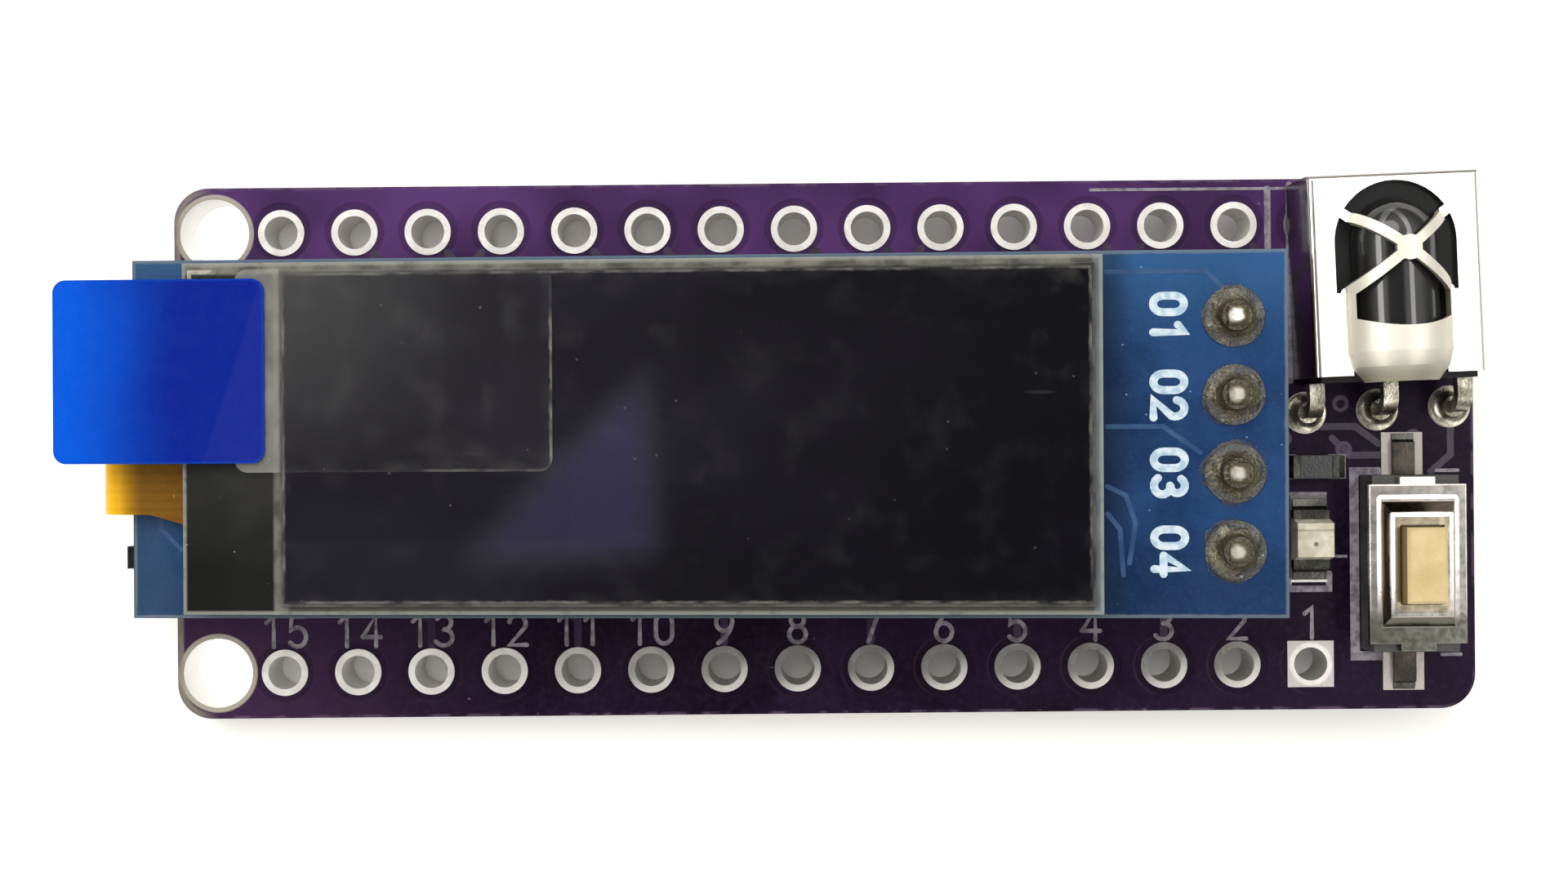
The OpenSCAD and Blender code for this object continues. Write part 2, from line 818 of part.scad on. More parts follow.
module header_pins() {
    color([0.85, 0.83, 0.78])
        header_pin_bars();
}

module header_pin_bars() {
    header_frame()
        for (y = header_y)
            translate([0, y, 0])
                square_bar(header_pin_side, -header_pin_tail, module_top_at_pins + header_pin_proud);
}

module header_solder_top() {
    color([0.82, 0.83, 0.84])
        difference() {
            module_frame()
                on_header_pins(module_thickness)
                    solder_fillet(header_pad_diameter / 2, header_solder_neck);
            header_pin_bars();
        }
}

module header_solder_bottom() {
    color([0.82, 0.83, 0.84])
        difference() {
            header_frame()
                for (y = header_y)
                    translate([0, y, -pad_thickness])
                        mirror([0, 0, 1])
                            solder_fillet(header_pad_diameter / 2 - 0.03, header_solder_neck);
            header_pin_bars();
        }
}

// Infrared receiver
module ir_shield() {
    color([0.93, 0.92, 0.9])
        ir_frame() {
            ir_case();
            ir_skirt();
            ir_grille();
        }
}

// A block the size of the shield, set in on all sides, with round edges at the top
module ir_block(inset, near, bottom) {
    radius = max(ir_fold_radius - inset, 0.02);
    depth = 4 * ir_height;
    intersection() {
        rotate([90, 0, 0])
            linear_extrude(height = 4 * ir_length, center = true)
                translate([inset - ir_width / 2, ir_height - inset - depth])
                    rounded_rectangle(ir_width - 2 * inset, depth, radius);
        rotate([90, 0, 90])
            linear_extrude(height = 2 * ir_width, center = true)
                translate([-ir_length * 1.5 - inset, ir_height - inset - depth])
                    rounded_rectangle(2 * ir_length, depth, radius);
        translate([-ir_width, near, bottom])
            cube([2 * ir_width, 2 * ir_length, 2 * ir_height]);
    }
}

// A round bar along Y with a ball at its far end, which both the bulge and the lens follow
module ir_round(radius, near) {
    translate([0, near, ir_axis_z])
        rotate([-90, 0, 0])
            cylinder(r = radius, h = ir_dome_y - near);
    translate([0, ir_dome_y, ir_axis_z])
        sphere(radius);
}

// The folded sheet: a flat face with three walls, open below and at its near end
module ir_case() {
    difference() {
        ir_block(0, -ir_length / 2, ir_standoff);
        ir_block(ir_sheet, -ir_length, -ir_height);
        translate([0, 0, ir_height - 1])
            linear_extrude(height = 2)
                ir_window();
        translate([0, -ir_length, ir_axis_z])
            rotate([-90, 0, 0])
                cylinder(r = ir_inner_radius, h = ir_length);
    }
}

module ir_window() {
    translate([0, ir_dome_y])
        circle(d = ir_window_width);
    translate([-ir_window_width / 2, ir_elbow_y])
        square([ir_window_width, ir_dome_y - ir_elbow_y]);
}

// The bulge's lower end: half round with a curved upper edge, drawn in to an open mouth
module ir_skirt() {
    intersection() {
        difference() {
            translate([0, ir_skirt_end, ir_axis_z])
                rotate([-90, 0, 0])
                    rotate_extrude()
                        ir_skirt_profile();
            translate([0, ir_window_bottom + ir_bow_radius, 0])
                cylinder(r = ir_bow_radius, h = 2 * ir_height);
        }
        translate([-ir_width, -2 * ir_length, ir_height - ir_sheet])
            cube([2 * ir_width, 4 * ir_length, 2 * ir_bulge_radius]);
    }
}

module ir_skirt_profile() {
    upper = ir_skirt_length + ir_skirt_bow;
    mouth = ir_bulge_radius - ir_skirt_drawn;
    shoulder = ir_bulge_radius - ir_skirt_drawn / 4;
    polygon([
        [mouth - ir_sheet, 0], [mouth, 0],
        [shoulder, ir_skirt_taper / 2], [ir_bulge_radius, ir_skirt_taper],
        [ir_bulge_radius, upper], [ir_inner_radius, upper],
        [ir_inner_radius, ir_skirt_taper], [shoulder - ir_sheet, ir_skirt_taper / 2],
    ]);
}

// Four bent strips that cross over the lens: the bulge's shell cut to an X
module ir_grille() {
    intersection() {
        union() {
            difference() {
                ir_round(ir_bulge_radius, ir_window_bottom - 0.1);
                ir_round(ir_inner_radius, ir_window_bottom - 1);
            }
            difference() {
                translate([-ir_width / 2, ir_window_bottom, ir_height - ir_sheet])
                    cube([ir_width, ir_window_length + 0.1, ir_sheet]);
                ir_round(ir_inner_radius, ir_window_bottom - 1);
            }
        }
        translate([0, 0, ir_height - ir_sheet])
            linear_extrude(height = 2 * ir_bulge_radius)
                ir_cross();
    }
}

module ir_cross() {
    reach = ir_window_width / 2;
    hub = [0, ir_hub_y];
    translate(hub)
        circle(ir_strip_width * 1.25);
    for (side = [-1, 1]) {
        elbow = [side * ir_elbow_x, ir_elbow_y];
        ir_strip(hub, [side * reach * 0.95, ir_dome_y + reach * 0.56]);
        ir_strip(hub, elbow);
        ir_strip(elbow, [side * ir_elbow_x, ir_window_bottom - 0.1]);
    }
}

module ir_strip(from, to) {
    run = to - from;
    translate(from)
        rotate(atan2(run[1], run[0])) {
            translate([0, -ir_strip_width / 2])
                square([norm(run), ir_strip_width]);
            circle(d = ir_strip_width);
        }
}

module ir_body() {
    face_inset = max(ir_fold_radius, ir_sheet + ir_side_gap);
    face_width = ir_width - 2 * face_inset;
    face_far = ir_length / 2 - face_inset;
    color([0.07, 0.07, 0.08])
        ir_frame()
            union() {
                ir_block(ir_sheet + ir_side_gap, ir_body_near, ir_standoff);
                translate([-face_width / 2, ir_body_near, ir_height / 2])
                    cube([face_width, face_far - ir_body_near, ir_height / 2 - ir_sheet]);
                intersection() {
                    ir_round(ir_lens_radius, ir_lens_near);
                    translate([-ir_width, -ir_length, ir_height - ir_sheet - 0.1])
                        cube([2 * ir_width, 2 * ir_length, 2 * ir_bulge_radius]);
                }
            }
}

module ir_leads() {
    color([0.85, 0.85, 0.83])
        ir_frame()
            ir_lead_bars();
}

// Three flat leads that run out of the body, bend down and pass through the carrier
module ir_lead_bars() {
    bend_y = ir_lead_y + ir_bend;
    bottom = -carrier_thickness - ir_lead_tail;
    for (x = ir_lead_x)
        translate([x, 0, 0]) {
            translate([-ir_lead_width / 2, bend_y, ir_lead_z - ir_lead_thickness / 2])
                cube([ir_lead_width, ir_body_near - bend_y, ir_lead_thickness]);
            translate([-ir_lead_width / 2, ir_lead_y - ir_lead_thickness / 2, bottom])
                cube([ir_lead_width, ir_lead_thickness, ir_lead_z - ir_bend - bottom]);
            translate([0, bend_y, ir_lead_z - ir_bend])
                rotate([0, -90, 0])
                    linear_extrude(height = ir_lead_width, center = true)
                        ir_lead_elbow();
        }
}

module ir_lead_elbow() {
    outer = ir_bend + ir_lead_thickness / 2;
    intersection() {
        difference() {
            circle(outer);
            circle(outer - ir_lead_thickness);
        }
        translate([0, -outer])
            square(outer);
    }
}

module ir_solder() {
    foot = ir_pad_diameter / 2 - 0.03;
    neck = 0.36;
    color([0.82, 0.83, 0.84])
        ir_frame()
            difference() {
                for (x = ir_lead_x)
                    translate([x, ir_lead_y, 0]) {
                        translate([0, 0, pad_thickness])
                            solder_fillet(foot, neck);
                        translate([0, 0, -carrier_thickness - pad_thickness])
                            mirror([0, 0, 1])
                                solder_fillet(foot, neck);
                    }
                ir_lead_bars();
            }
}

// Push button
module switch_base() {
    color([0.08, 0.08, 0.08])
        switch_frame()
            difference() {
                translate([0, 0, 0.02])
                    centred_box([switch_width, switch_length, switch_base_height - 0.02]);
                translate([0, 0, cavity_floor])
                    centred_box([cavity_width, cavity_length, switch_base_height]);
            }
}

// A block along Z whose sides lean in by the given runs, or keep a chamfer at the top
module leaning_block(width, length, top, run_x, run_y, upright) {
    intersection() {
        rotate([90, 0, 0])
            linear_extrude(height = 4 * length, center = true)
                leaning_side(width, top, run_x, upright);
        rotate([90, 0, 90])
            linear_extrude(height = 4 * width, center = true)
                leaning_side(length, top, run_y, upright);
    }
}

module leaning_side(width, top, run, upright) {
    foot = width / 2 + run;
    polygon([[-foot, 0], [foot, 0], [foot, upright], [width / 2, top], [-width / 2, top], [-foot, upright]]);
}

module switch_cover() {
    tongue_width = 1.2;
    tongue = 0.25;
    color([0.78, 0.76, 0.73])
        switch_frame()
            translate([0, 0, cover_z])
                difference() {
                    union() {
                        centred_box([switch_cover_width, switch_cover_length, switch_sheet]);
                        centred_box([tongue_width, switch_cover_length + 2 * tongue, switch_sheet]);
                        leaning_block(
                            collar_width, collar_length, collar_height + switch_sheet,
                            collar_lean_width, collar_lean_length, switch_sheet / 2
                        );
                    }
                    translate([0, 0, -eps])
                        centred_box([cavity_width, cavity_length, collar_height + eps]);
                    centred_box([window_width, window_length, 2]);
                }
}

module switch_plunger() {
    bottom = flange_top - flange_height;
    rise = plunger_top - bottom;
    color([0.89, 0.8, 0.6])
        switch_frame()
            translate([0, 0, bottom]) {
                centred_box([flange_width, flange_length, flange_height]);
                leaning_block(
                    plunger_width - 2 * plunger_edge, plunger_length - 2 * plunger_edge, rise,
                    plunger_edge, plunger_edge, rise - plunger_edge
                );
            }
}

// A thin snap dome: a shell cut from a sphere
module switch_dome() {
    color([0.8, 0.8, 0.8])
        switch_frame()
            translate([0, 0, cavity_floor])
                intersection() {
                    translate([0, 0, dome_rise - dome_sphere])
                        difference() {
                            sphere(dome_sphere);
                            sphere(dome_sphere - dome_sheet);
                        }
                    cylinder(r = 2 * dome_sphere, h = 2 * dome_rise);
                }
}

module switch_terminals() {
    reach = (terminal_span - switch_length) / 2;
    color([0.8, 0.78, 0.74])
        switch_frame()
            for (side = [-1, 1])
                translate([0, side * (terminal_span - reach) / 2, pad_thickness])
                    centred_box([terminal_width, reach, terminal_thickness]);
}

// Light and resistor
module led_base() {
    color([0.9, 0.88, 0.8])
        led_frame()
            centred_box([led_length - 2 * led_end, led_width, led_base_height]);
}

module led_ends() {
    color([0.7, 0.68, 0.62])
        led_frame()
            for (side = [-1, 1])
                translate([side * (led_length - led_end) / 2, 0, 0])
                    centred_box([led_end, led_width, led_base_height]);
}

module led_lens() {
    half = led_lens_length / 2;
    lean = 0.12;
    top = led_lens_height;
    color([0.85, 0.8, 0.68])
        led_frame()
            translate([0, 0, led_base_height])
                rotate([90, 0, 0])
                    linear_extrude(height = led_width, center = true)
                        polygon([[-half, 0], [half, 0], [half - lean, top], [lean - half, top]]);
}

module resistor_body() {
    color([0.1, 0.1, 0.11])
        resistor_frame()
            chip_middle(resistor_length, resistor_width, resistor_height);
}

module resistor_ends() {
    color([0.82, 0.82, 0.8])
        resistor_frame()
            chip_caps(resistor_length, resistor_width, resistor_height);
}

module surface_solder() {
    color([0.82, 0.83, 0.84]) {
        switch_frame()
            for (side = [-1, 1])
                rotate([0, 0, side * 90])
                    translate([terminal_span / 2, 0, pad_thickness])
                        solder_wedge(terminal_width, terminal_thickness, switch_pad_reach - 0.04);
        led_frame()
            for (turn = [0, 180])
                rotate([0, 0, turn])
                    translate([led_length / 2, 0, 0])
                        solder_wedge(led_width - 0.1, led_base_height, solder_foot);
        resistor_frame()
            for (turn = [0, 180])
                rotate([0, 0, turn])
                    translate([resistor_length / 2, 0, 0])
                        solder_wedge(resistor_width - 0.06, resistor_height * 0.8, 0.3);
    }
}

carrier_board();
header_hole_pads();
soldered_hole_pads();
component_pads();
module_board();
mounting_tape();
panel_cap_glass();
panel_front_glass();
polariser();
protective_film();
pull_tab_tape();
pull_tab();
driver_chip();
flex_tail();
flex_contacts();
module_regulator();
module_regulator_leads();
module_capacitors();
module_resistors();
module_chip_ends();
header_strip();
header_pins();
header_solder_top();
header_solder_bottom();
ir_shield();
ir_body();
ir_leads();
ir_solder();
switch_base();
switch_cover();
switch_plunger();
switch_dome();
switch_terminals();
led_base();
led_lens();
led_ends();
resistor_body();
resistor_ends();
surface_solder();
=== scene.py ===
"""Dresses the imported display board: finishes, printed marks, tracks, flux, light and camera."""

import math
import random

import bmesh
import bpy
from mathutils import Matrix, Vector


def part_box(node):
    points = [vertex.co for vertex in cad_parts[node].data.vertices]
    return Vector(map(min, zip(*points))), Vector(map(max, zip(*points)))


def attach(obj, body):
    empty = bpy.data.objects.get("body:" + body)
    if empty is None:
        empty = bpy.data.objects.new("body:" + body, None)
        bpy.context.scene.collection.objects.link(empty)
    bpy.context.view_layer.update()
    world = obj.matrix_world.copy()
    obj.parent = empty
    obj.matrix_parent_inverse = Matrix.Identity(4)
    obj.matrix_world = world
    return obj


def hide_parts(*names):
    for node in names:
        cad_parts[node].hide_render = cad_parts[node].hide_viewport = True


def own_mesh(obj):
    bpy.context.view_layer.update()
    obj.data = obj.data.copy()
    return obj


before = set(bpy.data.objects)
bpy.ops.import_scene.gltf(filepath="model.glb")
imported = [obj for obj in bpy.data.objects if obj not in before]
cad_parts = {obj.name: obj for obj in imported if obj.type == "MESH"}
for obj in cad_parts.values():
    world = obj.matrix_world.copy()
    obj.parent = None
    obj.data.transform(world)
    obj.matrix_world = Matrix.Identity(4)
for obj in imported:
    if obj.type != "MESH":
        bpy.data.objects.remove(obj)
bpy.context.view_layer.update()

# Places and sizes of the solids that finishes and pieces follow, in millimetres
MM = 0.001
PITCH = 2.54
ROW = 7.62
FIRST_HOLE = 7 * PITCH
MOUNTING_X = -20.1
CARRIER_TOP = 1.6
CARRIER_LEFT = -21.5
CARRIER_OUTLINE = (1.0, 0.0, 22.5, 9.2, 1.2)  # middle, half length and width, corner
SWITCH = (21.0, -4.08)
MODULE_TOP = 1.2
LEDGE_TOP = 2.6
PIN_X = 1.25
FIRST_PIN = 1.5 * PITCH
MODULE_LEAN = math.asin(1.79 / 35.25)
MODULE_TURN = math.radians(-0.2)
MODULE = (Matrix.Translation((13.0, 0.38, 4.14)) @ Matrix.Rotation(-MODULE_LEAN, 4, "Y")
          @ Matrix.Rotation(MODULE_TURN, 4, "Z"))
RECEIVER = (Matrix.Translation((20.0, 5.67, CARRIER_TOP))
            @ Matrix.Rotation(math.radians(2.0), 4, "Z"))
# The board rests on its left end and on the header's pin tails.
FLOOR_SLOPE = math.atan(0.95 / 36.07)

STUDIO_LIGHT = 1.3


# Finishes

def tone(red, green, blue):
    """Surface colour that shows as the given screen colour under the studio light."""
    linear = []
    for value in (red, green, blue):
        value = value / 255
        value = value / 12.92 if value <= 0.04045 else ((value + 0.055) / 1.055) ** 2.4
        linear.append(value / STUDIO_LIGHT)
    return tuple(linear)


class Nodes:
    """Shader nodes of one tree. A method that adds nodes gives back their output socket."""

    def __init__(self, tree):
        self.tree = tree

    def put(self, socket, value):
        """Links a socket to another one, or sets it to a constant."""
        if isinstance(value, bpy.types.NodeSocket):
            self.tree.links.new(value, socket)
        elif isinstance(value, tuple) and len(value) == 3 and socket.type == "RGBA":
            socket.default_value = (*value, 1.0)
        else:
            socket.default_value = value

    def math(self, operation, *values):
        node = self.tree.nodes.new("ShaderNodeMath")
        node.operation = operation
        for socket, value in zip(node.inputs, values):
            self.put(socket, value)
        return node.outputs[0]

    def add(self, a, b):
        return self.math("ADD", a, b)

    def sub(self, a, b):
        return self.math("SUBTRACT", a, b)

    def mul(self, a, b):
        return self.math("MULTIPLY", a, b)

    def length(self, u, v):
        return self.math("SQRT", self.add(self.mul(u, u), self.mul(v, v)))

    def most(self, *values):
        result = values[0]
        for value in values[1:]:
            result = self.math("MAXIMUM", result, value)
        return result

    def step(self, value, low, high, bottom=0.0, top=1.0):
        """Soft step from bottom at low to top at high."""
        node = self.tree.nodes.new("ShaderNodeMapRange")
        node.interpolation_type = "SMOOTHSTEP"
        self.put(node.inputs["Value"], value)
        node.inputs["From Min"].default_value = low
        node.inputs["From Max"].default_value = high
        node.inputs["To Min"].default_value = bottom
        node.inputs["To Max"].default_value = top
        return node.outputs["Result"]

    def band(self, value, low, high, soft=0.02):
        rise = self.step(value, low - soft, low + soft)
        fall = self.step(value, high - soft, high + soft, 1.0, 0.0)
        return self.mul(rise, fall)

    def mix(self, share, a, b):
        node = self.tree.nodes.new("ShaderNodeMix")
        node.data_type = "RGBA"
        self.put(node.inputs[0], share)
        self.put(node.inputs[6], a)
        self.put(node.inputs[7], b)
        return node.outputs[2]


class Finish(Nodes):
    """One procedural material, worked out on points in millimetres."""

    def __init__(self, name, place=None):
        self.material = bpy.data.materials.new(name)
        self.material.use_nodes = True
        super().__init__(self.material.node_tree)
        self.shader = self.tree.nodes["Principled BSDF"]
        coordinates = self.tree.nodes.new("ShaderNodeTexCoord")
        mapping = self.tree.nodes.new("ShaderNodeMapping")
        mapping.vector_type = "TEXTURE"
        mapping.inputs["Scale"].default_value = (MM, MM, MM)
        if place is not None:
            mapping.inputs["Location"].default_value = place.to_translation() * MM
            mapping.inputs["Rotation"].default_value = place.to_euler()
        self.tree.links.new(coordinates.outputs["Object"], mapping.inputs["Vector"])
        self.point = mapping.outputs["Vector"]
        parts = self.tree.nodes.new("ShaderNodeSeparateXYZ")
        self.tree.links.new(self.point, parts.inputs[0])
        self.x, self.y, self.z = parts.outputs

    def box(self, low_x, high_x, low_y, high_y):
        return self.mul(self.band(self.x, low_x, high_x), self.band(self.y, low_y, high_y))

    def radius(self, x, y):
        return self.length(self.sub(self.x, x), self.sub(self.y, y))

    def round_box(self, x, y, half_x, half_y, corner):
        """Distance outside a rounded rectangle, negative inside."""
        u = self.sub(self.math("ABSOLUTE", self.sub(self.x, x)), half_x - corner)
        v = self.sub(self.math("ABSOLUTE", self.sub(self.y, y)), half_y - corner)
        out_u = self.math("MAXIMUM", u, 0.0)
        out_v = self.math("MAXIMUM", v, 0.0)
        inside = self.math("MINIMUM", self.math("MAXIMUM", u, v), 0.0)
        return self.sub(self.add(self.length(out_u, out_v), inside), corner)

    def stretched(self, stretch):
        if stretch == (1, 1, 1):
            return self.point
        node = self.tree.nodes.new("ShaderNodeMapping")
        node.inputs["Scale"].default_value = stretch
        self.tree.links.new(self.point, node.inputs["Vector"])
        return node.outputs["Vector"]

    def noise(self, size, detail=3.0, stretch=(1, 1, 1)):
        node = self.tree.nodes.new("ShaderNodeTexNoise")
        node.inputs["Scale"].default_value = 1.0 / size
        node.inputs["Detail"].default_value = detail
        self.tree.links.new(self.stretched(stretch), node.inputs["Vector"])
        return node.outputs["Fac"]

    def specks(self, size, reach, stretch=(1, 1, 1)):
        """Scattered dots: size is their spacing and reach their radius as a share of it."""
        node = self.tree.nodes.new("ShaderNodeTexVoronoi")
        node.inputs["Scale"].default_value = 1.0 / size
        self.tree.links.new(self.stretched(stretch), node.inputs["Vector"])
        return self.step(node.outputs["Distance"], reach * 0.5, reach, 1.0, 0.0)

    def up(self):
        """How far a face points up or down, 0 for a wall and 1 for a flat."""
        node = self.tree.nodes.new("ShaderNodeNewGeometry")
        parts = self.tree.nodes.new("ShaderNodeSeparateXYZ")
        self.tree.links.new(node.outputs["True Normal"], parts.inputs[0])
        return self.math("ABSOLUTE", parts.outputs[2])

    def bump(self, height, depth, edge=None):
        """Relief of a depth in millimetres, on edges rounded by a radius."""
        node = self.tree.nodes.new("ShaderNodeBump")
        node.inputs["Distance"].default_value = depth * MM
        self.put(node.inputs["Height"], height)
        if edge is not None:
            self.put(node.inputs["Normal"], self.edge(edge))
        return node.outputs["Normal"]

    def edge(self, radius):
        node = self.tree.nodes.new("ShaderNodeBevel")
        node.samples = 4
        node.inputs["Radius"].default_value = radius * MM
        return node.outputs["Normal"]

    def set(self, **values):
        names = {
            "base": "Base Color",
            "rough": "Roughness",
            "metal": "Metallic",
            "normal": "Normal",
            "alpha": "Alpha",
            "gloss": "Specular IOR Level",
            "clear": "Transmission Weight",
            "coat": "Coat Weight",
            "coat_rough": "Coat Roughness",
            "glow": "Emission Strength",
        }
        for key, value in values.items():
            self.put(self.shader.inputs[names[key]], value)
        return self.material


def from_nearest(f, value, first):
    """Offset from the nearest of a row of pins, with the first one at minus first."""
    along = f.math("FLOORED_MODULO", f.add(value, first + PITCH / 2), PITCH)
    return f.sub(along, PITCH / 2)


def pin_hole_distance(f):
    """Distance from the nearest hole of the two pin rows."""
    return f.length(from_nearest(f, f.x, FIRST_HOLE), f.sub(f.math("ABSOLUTE", f.y), ROW))


def pin_distance(f):
    """Distance from the nearest header pin, in the module's frame."""
    return f.length(f.sub(f.x, PIN_X), from_nearest(f, f.y, FIRST_PIN))


def carrier_mask():
    """Purple lacquer with painted shade along the near row and painted light on the far half, with
    bare laminate at the edges.
    """
    f = Finish("carrier_mask")
    cloud = f.step(f.noise(5.0, 2.0), 0.38, 0.66)
    grain = f.noise(0.22, 3.0)
    # Painted shade: the near half is darker, less so towards its left end; painted light: the far
    # half is lighter.
    near = f.mix(cloud, tone(20, 10, 28), tone(33, 18, 44))
    near = f.mix(f.step(f.x, -21.0, -8.0, 0.75, 0.0), near, tone(72, 46, 80))
    far = f.mix(cloud, tone(64, 36, 82), tone(94, 56, 118))
    lacquer = f.mix(f.step(f.y, 1.0, 7.5), near, far)
    lacquer = f.mix(f.step(grain, 0.35, 0.8, 0.0, 0.14), lacquer, tone(82, 54, 98))
    hole = pin_hole_distance(f)
    row_end = FIRST_HOLE + PITCH / 2
    rows = f.band(f.x, -row_end, row_end)
    # Painted shade: a darker ring round each pin pad, where the lacquer dips.
    ring = f.mul(f.band(hole, 0.78, 1.04, 0.05), rows)
    lacquer = f.mix(f.mul(ring, 0.35), lacquer, tone(20, 12, 25))
    mounts = [f.radius(MOUNTING_X, side) for side in (-ROW, ROW)]
    for mount in mounts:
        collar = f.band(mount, 1.0, 1.36, 0.03)
        lacquer = f.mix(f.mul(collar, 0.8), lacquer, tone(196, 190, 172))
    rim = f.round_box(*CARRIER_OUTLINE)
    left_end = f.mul(f.step(rim, -0.26, -0.16), f.step(f.x, -21.0, -20.0, 1.0, 0.0))
    lacquer = f.mix(f.mul(left_end, 0.75), lacquer, tone(150, 144, 128))
    wear_and_sheen = f.mul(f.step(rim, -0.14, -0.04), f.step(f.noise(0.7), 0.45, 0.6))
    lacquer = f.mix(f.mul(wear_and_sheen, 0.6), lacquer, tone(112, 92, 118))
    dust = f.specks(1.3, 0.045)
    lacquer = f.mix(f.mul(dust, 0.5), lacquer, tone(150, 140, 150))
    layer = f.step(f.math("SINE", f.mul(f.z, 24.0)), -0.6, 0.6)
    fibre = f.noise(0.3, 2.0, (1, 1, 6))
    laminate = f.mix(f.mul(layer, fibre), tone(112, 98, 62), tone(176, 160, 116))
    for mount in mounts:
        sleeve = f.step(mount, 1.25, 1.3, 1.0, 0.0)
        laminate = f.mix(sleeve, laminate, (0.95, 0.94, 0.92))
    flat = f.step(f.up(), 0.4, 0.6)
    weave = f.mul(f.math("SINE", f.mul(f.x, 10.5)), f.math("SINE", f.mul(f.y, 10.5)))
    height = f.add(f.mul(weave, 0.06), f.add(f.mul(grain, 0.5), f.mul(ring, -1.0)))
    return f.set(
        base=f.mix(flat, laminate, lacquer),
        rough=f.step(f.noise(1.8), 0.3, 0.7, 0.3, 0.46),
        gloss=0.07,
        normal=f.bump(height, 0.012, 0.08),
    )


def module_mask():
    """Blue lacquer with painted light: lighter at its far edge, darker at its near edge and beside
    the glass's right end; lighter at its left end, with worn edges.
    """
    f = Finish("module_mask", MODULE)
    cloud = f.step(f.noise(2.4, 3.0), 0.35, 0.68)
    lacquer = f.mix(cloud, tone(17, 50, 94), tone(28, 68, 118))
    # Painted light on the far edge and painted shade on the near edge.
    lacquer = f.mix(f.step(f.y, 2.5, 6.0, 0.0, 0.6), lacquer, tone(50, 104, 158))
    lacquer = f.mix(f.step(f.y, -5.5, -2.5, 0.6, 0.0), lacquer, tone(16, 42, 76))
    grain = f.noise(0.16, 3.0)
    lacquer = f.mix(f.step(grain, 0.4, 0.85, 0.0, 0.18), lacquer, tone(60, 98, 140))
    left_end = f.step(f.x, -34.6, -32.6, 1.0, 0.0)
    lacquer = f.mix(f.mul(left_end, 0.5), lacquer, tone(56, 88, 118))
    # Painted shade beside the glass's right end.
    shade = f.band(f.x, -3.2, -2.2, 0.45)
    lacquer = f.mix(f.mul(shade, 0.6), lacquer, tone(18, 36, 66))
    rim = f.round_box(-16.1, 0.0, 19.15, 6.0, 0.1)
    wear_and_sheen = f.step(f.add(rim, f.mul(f.noise(0.6), 0.1)), -0.1, -0.02)
    lacquer = f.mix(f.mul(wear_and_sheen, 0.55), lacquer, tone(130, 142, 148))
    dust = f.specks(0.8, 0.05)
    lacquer = f.mix(f.mul(dust, 0.6), lacquer, tone(170, 190, 205))
    stub = f.step(f.x, -35.27, -35.19, 1.0, 0.0)
    lacquer = f.mix(stub, lacquer, tone(16, 18, 22))
    flat = f.step(f.up(), 0.4, 0.6)
    layer = f.step(f.math("SINE", f.mul(f.z, 30.0)), -0.6, 0.6)
    laminate = f.mix(layer, tone(120, 112, 84), tone(170, 166, 142))
    height = f.add(f.mul(grain, 0.7), f.noise(1.2, 2.0))
    return f.set(
        base=f.mix(flat, laminate, lacquer),
        rough=f.step(f.noise(1.4), 0.3, 0.7, 0.28, 0.45),
        gloss=0.14,
        normal=f.bump(height, 0.012, 0.06),
    )


def metal(name, bright, tarnish_and_shade, rough, depth, edge=None, size=0.3):
    """Bare metal with cloudy tarnish and fine pits."""
    f = Finish(name)
    cloud = f.step(f.noise(size * 3.0, 3.0), 0.35, 0.7)
    grain = f.noise(size * 0.35, 3.0)
    colour = f.mix(cloud, tarnish_and_shade, bright)
    pits = f.specks(size * 1.4, 0.06)
    colour = f.mix(f.mul(pits, 0.35), colour, tuple(c * 0.45 for c in tarnish_and_shade))
    return f.set(
        base=colour,
        rough=f.step(grain, 0.25, 0.75, rough * 0.75, rough * 1.3),
        metal=0.9,
        normal=f.bump(f.add(grain, f.mul(cloud, 0.5)), depth, edge),
    )


